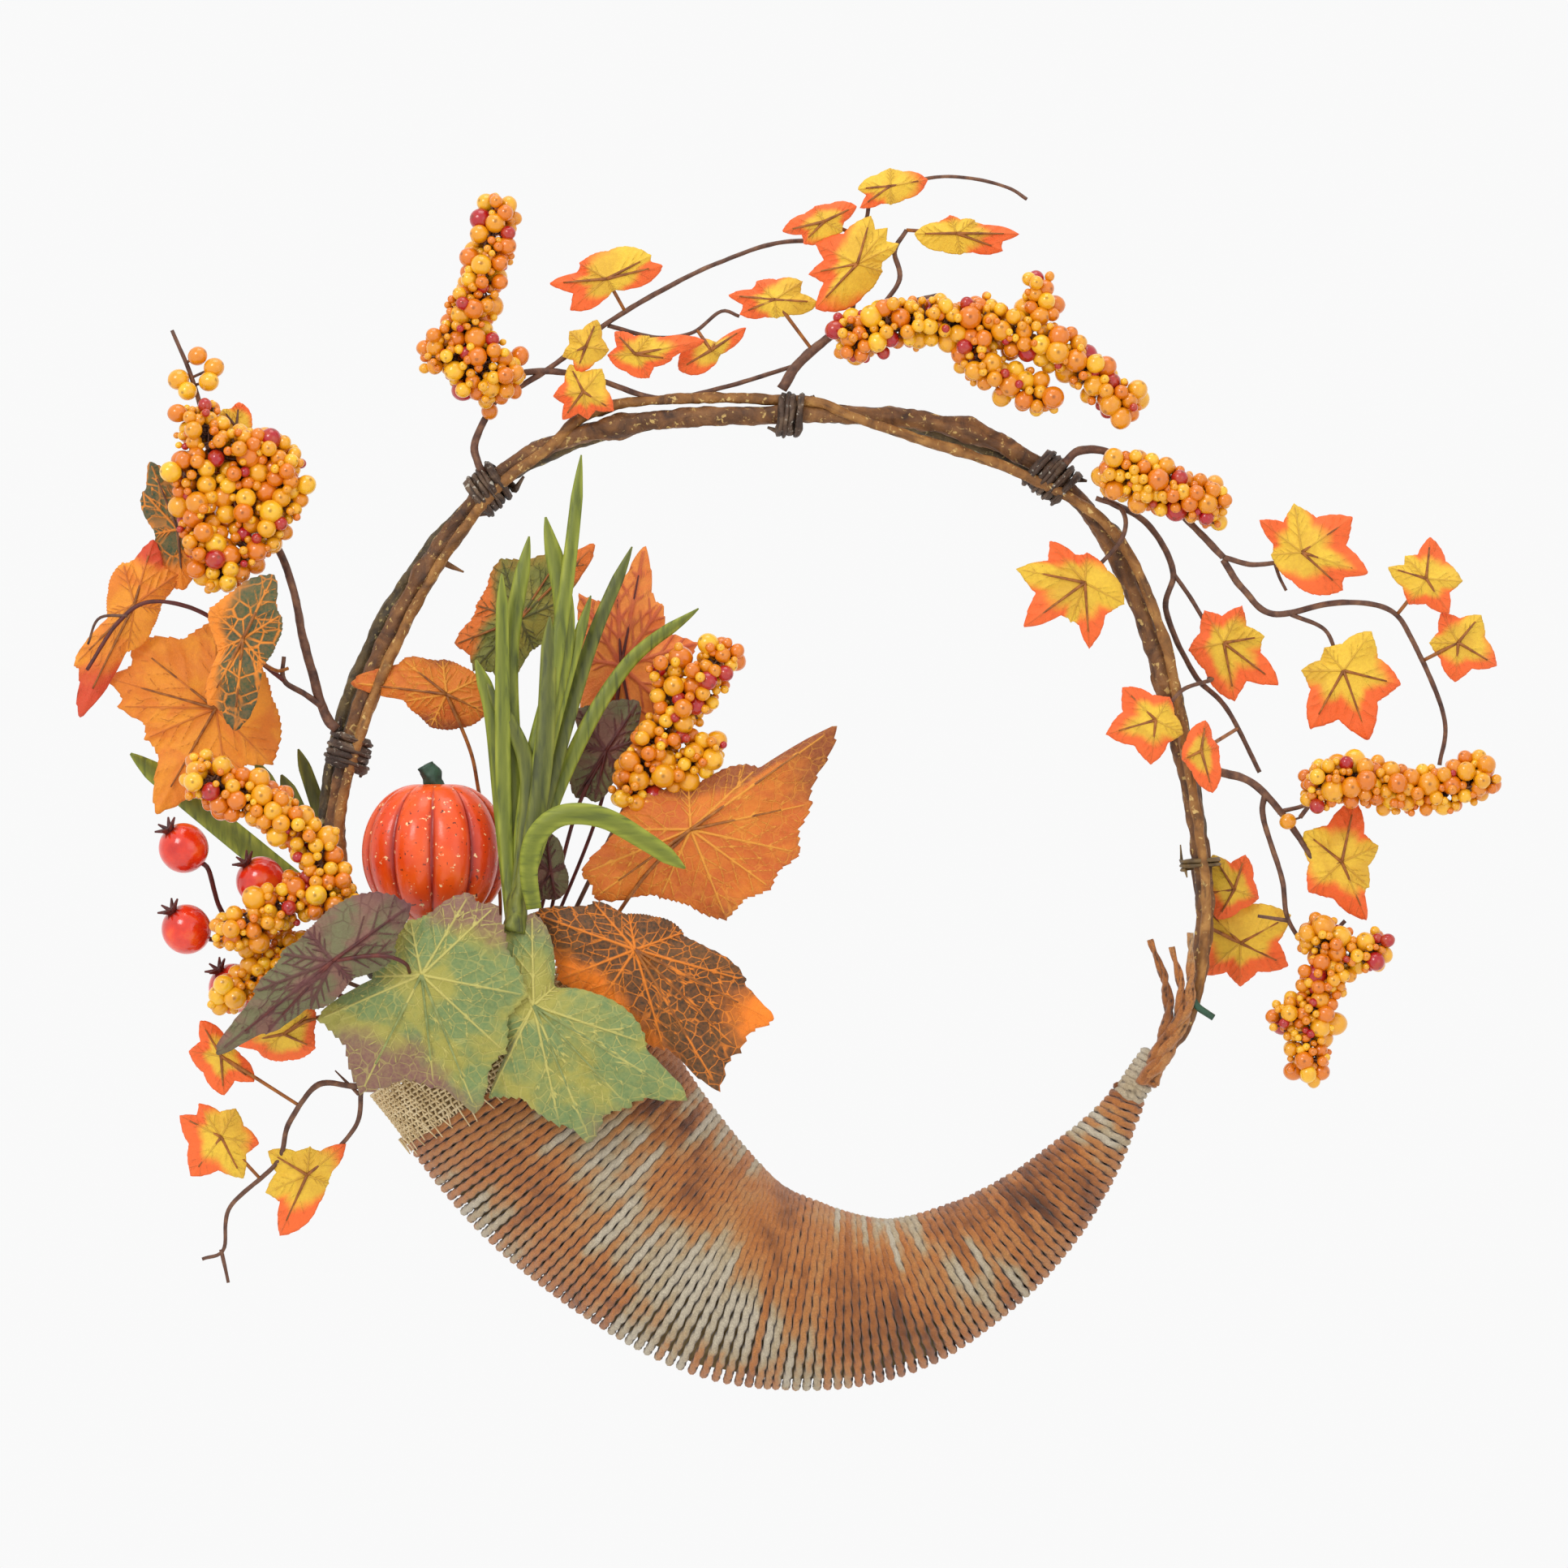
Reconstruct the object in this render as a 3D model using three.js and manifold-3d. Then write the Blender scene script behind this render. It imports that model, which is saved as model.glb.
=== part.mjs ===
// Harvest door wreath: a twisted vine ring whose ends run into a twine-wrapped horn, with wired
// sprays of berries and leaves tied round the ring and a bunch of leaves, berries, grass, rose hips
// and a small pumpkin standing out of the horn's mouth.
// Millimetres. X to the viewer's right, Z up, the viewer on the -Y side and the door on the +Y side.
// The origin is the underside of the ring's top, where a door hook carries the wreath.
import * as THREE from 'three';
import { mergeVertices } from 'three/addons/utils/BufferGeometryUtils.js';
import Module from 'manifold-3d';

const wasm = await Module();
wasm.setup();

// ---- driving dimensions ----
const GAP = 0.45;               // air kept between neighbouring pieces
const BLADE = 1.1;              // thickness of a leaf, backing and ribs included
const VINE = 3.2;               // radius of the thickest vine of the ring
const SECOND_VINE = 1.9;        // and of the two thinner ones
const THIRD_VINE = 1.6;
const TIE = 8.7;                // outer radius of the twig wraps that tie a spray to the ring
const WRAP = 2.2;               // half the width of one wrap
const WRAP_PITCH = 3.7;         // from one wrap to the next
const TWIG = 1.0;               // radius of the twigs that carry berries and rose hips
const PETIOLE = 0.9;            // radius of a leaf's own stalk
const HORN_DEPTH = 0.74;        // depth of the horn's oval section over its width
const HORN_WALL = 2.2;
const TWINE = 2.8;              // thickness of the wound twine layer
const LINING = 1.6;             // thickness of the burlap
const HORN_SIDES = 14;
const STATIONS = 14;            // even steps along the horn
const CUFF = 1;                 // station where the burlap cuff ends and the twine starts
const RIM = 3;                  // the burlap folds over the core this far ahead of it
const BERRY_STEP = 17;          // one berry stands out of a cluster's core per this length
const BERRY = 3.2;              // radius of the smallest berry
const BERRY_SPREAD = 1.2;       // and how much larger the largest is
const BERRY_TURN = 2.4;         // angle round the branch from one berry to the next
const CORE = [0.66, 0.5];       // radius of a cluster's core over the cluster's, at its root and end
const PUMPKIN = 31;             // radius at the widest
const HIP = 10;                 // radius of a rose hip
const NOTCH = 0.2;              // how far a leaf's rim dips between two lobes, as a share of its reach
const BULGE = 4;                // a leaf's rings stand a quarter of this in front of its hub and rim
const EDGE_GROW = 1.4;          // a grown leaf's rim moves out by more than its faces do
const WIDE_LOBE = 0.6;          // lobes closer together than this angle have shallower notches between them

// ---- colours ----
const finish = {
  bark: [0x8c552d, 0.8],
  oldBark: [0x645a3c, 0.85],
  paleBark: [0xaa7332, 0.75],
  tie: [0x503c32, 0.45],
  wire: [0x6e5a32, 0.4],
  greenWire: [0x325a46, 0.5],
  horn: [0x8a6a3c, 0.9],
  twine: [0xbe5f23, 0.85],
  burlap: [0xd7c396, 0.95],
  foam: [0x5a6b3c, 0.95],
  pumpkin: [0xf05f0f, 0.4],
  grass: [0x96a532, 0.6],
  hip: [0xeb3c1e, 0.25],
  berry: [0xe6a014, 0.2],
  stem: [0x735041, 0.6],
  green: [0x78905a, 0.7],
  purple: [0x785a50, 0.7],
  orange: [0xd7781e, 0.7],
  dark: [0x503c14, 0.7],
  maple: [0xeb823c, 0.7],
  gold: [0xe1be3c, 0.7]
};

// ---- solids ----
const vector = (p) => new THREE.Vector3(p[0], p[1], p[2]);

function signedVolume(position, index) {
  const [a, b, c] = [new THREE.Vector3(), new THREE.Vector3(), new THREE.Vector3()];
  let volume = 0;
  for (let i = 0; i < index.length; i += 3) {
    a.fromBufferAttribute(position, index[i]);
    b.fromBufferAttribute(position, index[i + 1]);
    c.fromBufferAttribute(position, index[i + 2]);
    volume += a.dot(b.cross(c)) / 6;
  }
  return volume;
}

// Merges a closed geometry's vertices, drops its flat triangles and turns its faces outwards.
function toSolid(geometry) {
  geometry.deleteAttribute('normal');
  geometry.deleteAttribute('uv');
  const merged = mergeVertices(geometry, 1e-3);
  const index = [];
  const source = merged.index.array;
  for (let i = 0; i < source.length; i += 3) {
    const [a, b, c] = [source[i], source[i + 1], source[i + 2]];
    if (a !== b && b !== c && c !== a) index.push(a, b, c);
  }
  if (signedVolume(merged.attributes.position, index) < 0) index.reverse();
  return new wasm.Manifold(new wasm.Mesh({
    numProp: 3,
    vertProperties: merged.attributes.position.array,
    triVerts: new Uint32Array(index)
  }));
}

function toGeometry(solid) {
  const mesh = solid.getMesh();
  const geometry = new THREE.BufferGeometry();
  geometry.setAttribute('position', new THREE.BufferAttribute(mesh.vertProperties, 3));
  geometry.setIndex(new THREE.BufferAttribute(mesh.triVerts, 1));
  geometry.computeVertexNormals();
  return geometry;
}

const join = (solids) => solids.reduce((whole, solid) => whole.add(solid));

// Moves a closed cylinder's vertices onto a swept section: place(t, x, z) gives each one its point.
function sweep(sides, steps, place) {
  const geometry = new THREE.CylinderGeometry(1, 1, 1, sides, steps);
  const position = geometry.attributes.position;
  for (let i = 0; i < position.count; i += 1) {
    const step = Math.round((position.getY(i) + 0.5) * steps);
    const point = place(step, position.getX(i), position.getZ(i));
    position.setXYZ(i, point.x, point.y, point.z);
  }
  return toSolid(geometry);
}

// A round tube along a route, tapering evenly from radius to tip.
function tube(points, radius, tip, grow, sides = 4, perPoint = 1) {
  const curve = curveOf(points);
  const steps = Math.max(1, Math.round(points.length * perPoint));
  const frames = curve.computeFrenetFrames(steps);
  return sweep(sides, steps, (step, x, z) => {
    const r = radius + (tip - radius) * step / steps + grow;
    const over = step === 0 ? -grow : step === steps ? grow : 0;
    return curve.getPointAt(step / steps)
      .addScaledVector(frames.tangents[step], over)
      .addScaledVector(frames.normals[step], x * r)
      .addScaledVector(frames.binormals[step], -z * r);
  });
}

const curveOf = (points) => new THREE.CatmullRomCurve3(points.map(vector), false, 'centripetal');

// The point of some curves that lies nearest to a place, as the viewer sees it.
function nearest(curves, [x, , z]) {
  let best = null;
  let least = Infinity;
  for (const curve of curves) {
    for (const point of curve.getSpacedPoints(60)) {
      const distance = Math.hypot(point.x - x, point.z - z);
      if (distance < least) {
        least = distance;
        best = [point.x, point.y, point.z];
      }
    }
  }
  return best;
}

function ball([x, y, z], radius, grow) {
  const geometry = new THREE.IcosahedronGeometry(radius + grow, 0);
  geometry.translate(x, y, z);
  return toSolid(geometry);
}

// The same run of numbers from 0 to 1 for the same seed.
const MULTIPLIER = 16807;
const MODULUS = 2 ** 31 - 1;
function randoms(seed) {
  let state = seed;
  return () => {
    state = (state * MULTIPLIER) % MODULUS;
    return state / MODULUS;
  };
}

// A pick of berries: a knobbly core along each branch, with berries standing out of it.
// A branch is a list of [x, y, z] points and the cluster's radius along it.
function berries(branches, seed, grow) {
  const random = randoms(seed);
  const solids = [];
  const curves = [];
  for (const { points, radius } of branches) {
    const path = curves.length ? [nearest(curves, points[0]), ...points] : points;
    const curve = curveOf(path);
    curves.push(curve);
    solids.push(tube(path, radius * CORE[0], radius * CORE[1], grow, 6));
    const count = Math.round(curve.getLength() / BERRY_STEP);
    for (let i = 0; i < count; i += 1) {
      const point = curve.getPointAt((i + 0.5) / count);
      const angle = i * BERRY_TURN + random();
      const size = BERRY + BERRY_SPREAD * random();
      const reach = radius - size;
      point.x += Math.cos(angle) * reach;
      point.z += Math.sin(angle) * reach * 0.8;
      point.y += Math.sin(angle * 1.7) * reach * 0.7;
      solids.push(ball([point.x, point.y, point.z], size, grow));
    }
  }
  return join(solids);
}

// ---- leaves ----
// The rim of a lobed leaf, as [x, z] points. It reaches each lobe's tip, and dips towards the hub
// half way from one tip to the next.
function lobedRim(hub, tips) {
  const marks = tips
    .map(([x, z]) => ({ angle: Math.atan2(z - hub[1], x - hub[0]), reach: Math.hypot(x - hub[0], z - hub[1]) }))
    .sort((a, b) => a.angle - b.angle);
  const at = (angle, reach) => [hub[0] + reach * Math.cos(angle), hub[1] + reach * Math.sin(angle)];
  return marks.flatMap(({ angle, reach }, i) => {
    const next = marks[(i + 1) % marks.length];
    const turn = (next.angle - angle + 2 * Math.PI) % (2 * Math.PI);
    const dip = 1 - NOTCH * Math.min(1, turn / WIDE_LOBE);
    return [at(angle, reach), at(angle + turn / 2, dip * (reach + next.reach) / 2)];
  });
}

// A leaf blade: a thin disc whose rim follows points about its hub. It bulges forward between them.
const RINGED = [[0, 0], [0.55, 0], [1, 0], [1, 1], [0.55, 1], [0, 1]];
const PLAIN = [[0, 0], [1, 0], [1, 1], [0, 1]];
function blade(hub, rim, grow, profile) {
  const geometry = new THREE.LatheGeometry(profile.map(([r, y]) => new THREE.Vector2(r, y)), rim.length);
  const position = geometry.attributes.position;
  const centre = vector(hub);
  for (let i = 0; i < position.count; i += 1) {
    const share = Math.hypot(position.getX(i), position.getZ(i));
    const turn = Math.atan2(position.getX(i), position.getZ(i)) / (2 * Math.PI);
    const reach = vector(rim[(Math.round(turn * rim.length) + rim.length) % rim.length]).sub(centre);
    reach.addScaledVector(reach.clone().normalize(), grow * EDGE_GROW);
    const point = centre.clone().addScaledVector(reach, share);
    point.y += (position.getY(i) > 0.5 ? BLADE + grow : -grow) - BULGE * share * (1 - share);
    position.setXYZ(i, point.x, point.y, point.z);
  }
  return toSolid(geometry);
}

// A lobed leaf that faces the viewer. Its rim lies behind its hub by droop.
function leaf({ hub, depth, tips, droop = 4, petiole, grow, profile = RINGED }) {
  const longest = Math.max(...tips.map(([x, z]) => Math.hypot(x - hub[0], z - hub[1])));
  const rim = lobedRim(hub, tips).map(([x, z]) => {
    return [x, depth + droop * Math.hypot(x - hub[0], z - hub[1]) / longest, z];
  });
  const solid = blade([hub[0], depth, hub[1]], rim, grow, profile);
  if (!petiole) return solid;
  const start = [hub[0], depth + BLADE / 2, hub[1]];
  return solid.add(tube([start, ...petiole], PETIOLE + 0.3, PETIOLE, grow));
}

// ---- the ring ----
const ringMain = (grow) => tube([
  [-98, 16, -268], [-150, 13, -244], [-180, 8, -214], [-186, 1, -172], [-176, 0, -125], [-160, 0, -86],
  [-135, 0, -45], [-105, 0, -15], [-60, 0, -1], [0, 0, 3], [60, 0, 1], [100, 0, -11], [130, 0, -33],
  [152, 0, -70], [168, 0, -115], [180, 0, -170], [184, 0, -210], [177, 0, -250], [160, 0, -278]
], VINE, VINE, grow, 7, 2);

const ringSecond = (grow) => tube([
  [-170, 20, -236], [-188, 10, -205], [-190, 6.6, -160], [-178, 6.6, -110], [-152, 6.6, -62], [-120, 6.6, -28],
  [-75, 6.6, -6], [-20, 6.6, 3], [50, 6.6, 0], [105, 6.6, -18], [144, 6.6, -47], [164, 6.6, -87],
  [176, 6.6, -135], [184, 6.6, -190], [181, 6.8, -235], [171, 7.5, -262]
], SECOND_VINE, SECOND_VINE, grow, 5, 2);

const ringThird = (grow) => tube([
  [-181, -5, -198], [-183, -6, -165], [-169, -6, -117], [-146, -6, -69], [-119, -6, -31], [-97, -5, -13],
  [-75, 0, 5], [-35, 1, 10], [5, 0.5, 9], [20, -3, 8], [34, -6, 2], [60, -6, -7], [107, -6, -23],
  [144, -6, -46], [164, -6, -86], [172, -6, -118], [178, -6, -155], [184, -6, -200], [181, -6, -240],
  [176, -5, -256]
], THIRD_VINE, THIRD_VINE, grow, 5, 2);

// Each tie is a few fat wraps round the ring, across its run.
const TIES = {
  tie_left: { at: [-180, -140], along: [0.2, 0.98], wraps: 3 },
  tie_upper_left: { at: [-120, -28], along: [0.75, 0.66], wraps: 3 },
  tie_top: { at: [8, 3], along: [1, 0], wraps: 2 },
  tie_upper_right: { at: [119, -24], along: [0.8, -0.6], wraps: 4 },
  wire_tie_right: { at: [182, -188], along: [0.1, -0.995], wraps: 1 }
};

function tie({ at, along, wraps }, grow) {
  const solids = [];
  for (let i = 0; i < wraps; i += 1) {
    const offset = (i - (wraps - 1) / 2) * WRAP_PITCH;
    const ends = [-1, 1].map((side) => {
      const place = offset + side * (WRAP + grow);
      return [at[0] + along[0] * place, 0.6, at[1] + along[1] * place];
    });
    solids.push(tube(ends, TIE + grow, TIE + grow, 0, 8, 1));
  }
  return join(solids);
}

// ---- the horn ----
// Its middle line, with half its width in the ring's plane at each point: [x, z, half width].
const HORN_LINE = [
  [-120, -252, 62], [-80, -310, 56], [-30, -356, 47], [10, -371, 41], [50, -372, 34], [85, -357, 27],
  [112, -337, 21], [134, -313, 14.5], [146, -296, 9.5], [152, -285, 7.4]
];
const hornCurve = new THREE.CatmullRomCurve3(HORN_LINE.map(([x, z]) => new THREE.Vector3(x, 0, z)));
const hornWidths = new THREE.CatmullRomCurve3(HORN_LINE.map(([, , w], i) => new THREE.Vector3(i, w, 0)));

// The horn's filled shape, offset outwards, from one station along it to another. Stations are even
// shares of its length, and a span may run over its first or last station by a little.
function hornSpan(offset, from, to, over = 0) {
  const steps = to - from;
  return sweep(HORN_SIDES, steps, (step, x, z) => {
    const u = hornCurve.getUtoTmapping((from + step) / STATIONS);
    const point = hornCurve.getPoint(u);
    const tangent = hornCurve.getTangent(u);
    const width = hornWidths.getPoint(u).y;
    const across = new THREE.Vector3(tangent.z, 0, -tangent.x);
    if (step === 0) point.addScaledVector(tangent, -over);
    if (step === steps) point.addScaledVector(tangent, over);
    point.addScaledVector(across, x * (width + offset));
    point.y += z * (width * HORN_DEPTH + offset);
    return point;
  });
}

// The horn's line gives the outside of the twine. The other layers lie under it, GAP apart.
const UNDER_TWINE = -TWINE;
const CORE_OUTSIDE = UNDER_TWINE - 2 * GAP;
const CORE_INSIDE = CORE_OUTSIDE - HORN_WALL;
const LINED = CORE_INSIDE - GAP - LINING;
const CLEAR = 4;                // a cutting span runs past the ends of what it cuts by this much
const hornCore = (grow) => hornSpan(CORE_OUTSIDE + grow, 0, STATIONS - 1, grow - RIM)
  .subtract(hornSpan(CORE_INSIDE - grow, 0, STATIONS - 2, CLEAR));
const hornTwine = (grow) => hornSpan(grow, CUFF, STATIONS, grow - GAP)
  .subtract(hornSpan(UNDER_TWINE - grow, CUFF, STATIONS, CLEAR));
const burlapLining = (grow) => hornSpan(CORE_OUTSIDE + GAP + LINING + grow, 0, CUFF, grow)
  .subtract(hornSpan(LINED - grow, 0, CUFF, CLEAR));
const foamBlock = (grow) => hornSpan(LINED - 2 * GAP + grow, 1, 3, grow);

// Coarse wraps bind the vines' ends where they go into the horn's tip, and three ends stand free.
const hornTail = (grow) => join([
  tube([[152.4, 0, -285.4], [157, 0, -278], [163, 0, -269]], 6.9, 6.2, grow, 10),
  tube([[158, -6, -281], [167, -8, -258], [167, -9, -240], [160, -9, -220]], 2, 0.8, grow),
  tube([[159, -6, -281], [171, -9, -256], [173, -11, -240], [169, -12, -223]], 2, 0.8, grow),
  tube([[160, -6, -280], [175, -9, -252], [177, -11, -236], [177, -12, -217]], 2, 0.8, grow)
]);
const greenStub = (grow) => tube([[178, -8.6, -245], [181, -9, -249], [187, -9, -253]], 1.6, 1.6, grow);

// ---- the pumpkin ----
const PUMPKIN_CENTRE = [-142, -22, -183];
const PUMPKIN_HEIGHT = 68;      // before the dimples at its two ends
const DIMPLE = 5;
const RIBS = 10;
const GROOVE = 0.055;           // depth of the grooves between the ribs, as a share of the radius
function pumpkinBody(grow) {
  const geometry = new THREE.SphereGeometry(1, 30, 10);
  const position = geometry.attributes.position;
  for (let i = 0; i < position.count; i += 1) {
    const [x, y, z] = [position.getX(i), position.getY(i), position.getZ(i)];
    const flank = Math.hypot(x, z);
    const rib = 1 - GROOVE * flank * (1 - Math.abs(Math.cos(Math.atan2(z, x) * RIBS / 2)));
    const height = y * (PUMPKIN_HEIGHT / 2 + grow) - (1 - flank) * DIMPLE * Math.sign(y);
    const r = (PUMPKIN + grow) * rib;
    position.setXYZ(i, PUMPKIN_CENTRE[0] + x * r, PUMPKIN_CENTRE[1] - z * r, PUMPKIN_CENTRE[2] + height);
  }
  return toSolid(geometry);
}
const pumpkinStem = (grow) => tube(
  [[-141, -24, -162], [-142, -25, -154], [-146, -26, -146]], 4.6, 3.6, grow, 7);
const pumpkinPick = (grow) => tube(
  [[-142, -20, -216], [-141, -14, -228], [-130, -8, -246], [-118, -4, -262]], 1.4, 1.4, grow);

// ---- grass ----
// A flat blade along a route, widest at its middle and pointed at its end.
function grassBlade(points, width, grow) {
  const curve = curveOf(points);
  const steps = 5;
  return sweep(4, steps, (step, x, z) => {
    const t = step / steps;
    const half = (width / 2) * (0.55 + 0.9 * t * (1 - t)) * (step === steps ? 0.25 : 1) + grow;
    const tangent = curve.getTangentAt(t);
    const across = new THREE.Vector3(tangent.z, 0, -tangent.x).normalize();
    const over = step === 0 ? -grow : step === steps ? grow : 0;
    const point = curve.getPointAt(t).addScaledVector(tangent, over).addScaledVector(across, x * half);
    point.y += z * (BLADE + grow);
    return point;
  });
}
const GRASS_ROOT = [-108, -56, -214];
const grassBundle = (grow) => join([
  tube([[-108, -57, -216], [-106, -54, -205], [-103, -50, -190]], 6, 5, grow, 7),
  grassBlade([GRASS_ROOT, [-98, -50, -150], [-86, -43, -70], [-80, -38, -16]], 6, grow),
  grassBlade([GRASS_ROOT, [-100, -48, -150], [-87, -42, -90], [-95, -37, -42]], 9, grow),
  grassBlade([GRASS_ROOT, [-108, -46, -160], [-110, -40, -100], [-102, -34, -50]], 7, grow),
  grassBlade([GRASS_ROOT, [-112, -46, -170], [-117, -44, -125], [-124, -42, -102]], 7, grow),
  grassBlade([GRASS_ROOT, [-92, -44, -150], [-76, -34, -95], [-59, -25, -54]], 6, grow),
  grassBlade([GRASS_ROOT, [-88, -40, -152], [-62, -30, -105], [-31, -23, -80]], 6, grow)
]);
const grassCurl = (grow) => grassBlade([
  [-99, -60, -206], [-101, -66, -190], [-98, -68, -176], [-87, -70, -167], [-70, -70, -168],
  [-52, -68, -178], [-36, -66, -189]
], 8, grow);
const GRASS_LEFT_ROOT = [-170, 16, -224];
const grassLeft = (grow) => join([
  tube([GRASS_LEFT_ROOT, [-176, 15, -212]], 4, 4, grow, 6),
  grassBlade([[-171, 16, -220], [-205, 14, -196], [-240, 13, -168], [-274, 12, -141]], 11, grow),
  grassBlade([[-171, 16, -218], [-196, 17, -190], [-210, 16, -165], [-221, 15, -144]], 9, grow),
  grassBlade([[-171, 19, -218], [-186, 20, -190], [-194, 20, -165], [-203, 20, -139]], 7, grow)
]);

// ---- leaves of the mouth ----
const mouthLeaves = {
  green_leaf_left: {
    finish: 'green', hub: [-145, -233], depth: -76, droop: 7,
    tips: [[-150, -210], [-125, -199], [-114, -204], [-101, -242], [-110, -266], [-122, -291], [-140, -281],
      [-171, -283], [-189, -252], [-166, -234]],
    petiole: [[-140, -60, -238], [-128, -30, -252]]
  },
  green_leaf_right: {
    finish: 'green', hub: [-99, -246], depth: -66, droop: 6,
    tips: [[-118, -214], [-100, -207], [-90, -238], [-52, -262], [-35, -285], [-59, -289], [-75, -304],
      [-88, -297], [-118, -285], [-110, -264]],
    petiole: [[-102, -48, -252], [-108, -26, -262]]
  },
  purple_leaf_left: {
    finish: 'purple', hub: [-181, -227], depth: -82, droop: 6,
    tips: [[-230, -266], [-214, -240], [-203, -224], [-192, -214], [-149, -204], [-155, -223], [-173, -235],
      [-191, -247], [-209, -257]],
    petiole: [[-168, -86, -225], [-158, -88, -225], [-151, -85, -228], [-150, -72, -232]]
  },
  dark_veined_leaf: {
    finish: 'dark', hub: [-57, -223], depth: -56, droop: 7,
    tips: [[-100, -208], [-75, -203], [-60, -208], [-37, -216], [-11, -236], [1, -253], [-13, -266],
      [-22, -282], [-45, -265], [-75, -250], [-90, -236]],
    petiole: [[-64, -40, -230], [-92, -22, -256]]
  },
  orange_leaf_right: {
    finish: 'orange', hub: [-34, -173], depth: -48, droop: 8,
    tips: [[27, -130], [17, -162], [12, -183], [0, -198], [-19, -211], [-47, -202], [-75, -202],
      [-80, -192], [-67, -173], [-35, -155], [-6, -147]],
    petiole: [[-56, -40, -196], [-88, -16, -244]]
  },
  maple_leaf: {
    finish: 'maple', hub: [-64, -104], depth: -12, droop: 4,
    tips: [[-54, -52], [-66, -66], [-82, -73], [-84, -100], [-74, -138], [-55, -150], [-38, -128], [-31, -94],
      [-46, -77]],
    petiole: [[-72, -8, -160], [-96, -4, -222]]
  },
  long_leaf_back: {
    finish: 'orange', hub: [-107, -84], depth: -8, droop: 2,
    tips: [[-135, -95], [-126, -78], [-115, -58], [-89, -56], [-75, -52], [-86, -75], [-101, -97],
      [-114, -112], [-127, -106]],
    petiole: [[-112, -4, -120], [-106, -2, -200]]
  },
  purple_leaf_upper: {
    finish: 'purple', hub: [-70, -140], depth: -26, droop: 2,
    tips: [[-82, -122], [-56, -119], [-58, -136], [-64, -150], [-75, -162], [-83, -160], [-80, -138]],
    petiole: [[-84, -22, -170], [-100, -12, -236]]
  },
  purple_leaf_low: {
    finish: 'purple', hub: [-93, -191], depth: -34, droop: 2,
    tips: [[-95, -174], [-87, -188], [-91, -203], [-101, -203], [-99, -186]],
    petiole: [[-100, -24, -215], [-112, -14, -244]]
  },
  folded_leaf_left: {
    finish: 'orange', hub: [-138, -116], depth: -10, droop: 2,
    tips: [[-179, -111], [-157, -101], [-140, -101], [-124, -109], [-121, -124], [-145, -130], [-156, -119]],
    petiole: [[-128, -6, -140], [-124, -4, -160], [-116, 4, -200], [-118, 8, -238]]
  },
  gold_leaf_low: {
    finish: 'gold', hub: [-203, -258], depth: -62, droop: 2,
    tips: [[-224, -262], [-190, -248], [-190, -264], [-213, -267]],
    petiole: [[-192, -58, -252], [-172, -48, -248]]
  }
};

// ---- berries and hips of the mouth ----
const berriesMouthRight = (grow) => join([
  berries([
    { points: [[-60, -34, -162], [-52, -34, -140], [-34, -34, -120], [-20, -33, -98]], radius: 11 },
    { points: [[-40, -34, -150], [-24, -34, -138]], radius: 9 },
    { points: [[-42, -34, -122], [-41, -33, -100]], radius: 8 }
  ], 11, grow),
  tube([[-60, -34, -160], [-74, -28, -186], [-102, -14, -250]], TWIG, TWIG, grow)
]);
const berriesMouthLeft = (grow) => join([
  berries([
    { points: [[-240, -60, -150], [-224, -60, -157], [-202, -60, -168], [-188, -60, -186], [-180, -60, -208]],
      radius: 12 },
    { points: [[-196, -60, -200], [-212, -61, -211], [-228, -62, -217]], radius: 11 }
  ], 23, grow),
  tube([[-180, -60, -206], [-168, -52, -222], [-148, -24, -244]], TWIG, TWIG, grow)
]);
const berriesMouthLow = (grow) => join([
  berries([{ points: [[-198, -50, -222], [-213, -54, -234], [-230, -56, -245]], radius: 9 }], 5, grow),
  tube([[-198, -50, -224], [-176, -38, -236], [-154, -16, -248]], TWIG, TWIG, grow)
]);
const HIPS = {
  rose_hip_upper: [-246, -44, -181],
  rose_hip_middle: [-245, -42, -215],
  rose_hip_inner: [-214, -40, -195],
  rose_hip_low: [-226, -34, -240]
};
function roseHip([x, y, z], grow) {
  const geometry = new THREE.SphereGeometry(HIP + grow, 12, 8);
  geometry.translate(x, y, z);
  const crown = [[x - 4, y - 3, z + 5], [x - 11, y - 7, z + 12]];
  return toSolid(geometry).add(tube(crown, 3, 1.2, grow, 6));
}
const hipStems = (grow) => join([
  tube([[-236, -40, -190], [-232, -32, -206], [-222, -22, -222], [-196, -16, -238], [-160, -8, -252]],
    TWIG, TWIG, grow),
  tube([[-236, -36, -219], [-230, -27, -221], [-216, -20, -227]], TWIG, TWIG, grow),
  tube([[-214, -34, -206], [-212, -26, -216], [-206, -18, -233]], TWIG, TWIG, grow),
  tube([[-220, -28, -240], [-212, -22, -238], [-204, -18, -235]], TWIG, TWIG, grow)
]);

// ---- sprays ----
// Stems are given as [route, radius, tip radius], leaves as [depth, hub, tips] and beads as
// [centre, radius]. Each stem after the first starts on the stems before it, and each leaf and bead
// stands on a stalk from the nearest stem.
function spray({ stems, leaves = [], beads = [], grow }) {
  const curves = [];
  const solids = [];
  for (const [points, radius, tip] of stems) {
    const path = curves.length ? [nearest(curves, points[0]), ...points.slice(1)] : points;
    curves.push(curveOf(path));
    solids.push(tube(path, radius, tip, grow));
  }
  for (const [depth, hub, tips] of leaves) {
    const centre = [hub[0], depth + BLADE / 2, hub[1]];
    solids.push(tube([nearest(curves, centre), centre], PETIOLE, PETIOLE, grow, 4, 0.5));
    solids.push(leaf({ hub, depth, tips, droop: 2, grow, profile: PLAIN }));
  }
  for (const [centre, radius] of beads) {
    solids.push(tube([nearest(curves, centre), centre], PETIOLE, PETIOLE, grow, 4, 0.5));
    solids.push(ball(centre, radius, grow));
  }
  return join(solids);
}

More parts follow.
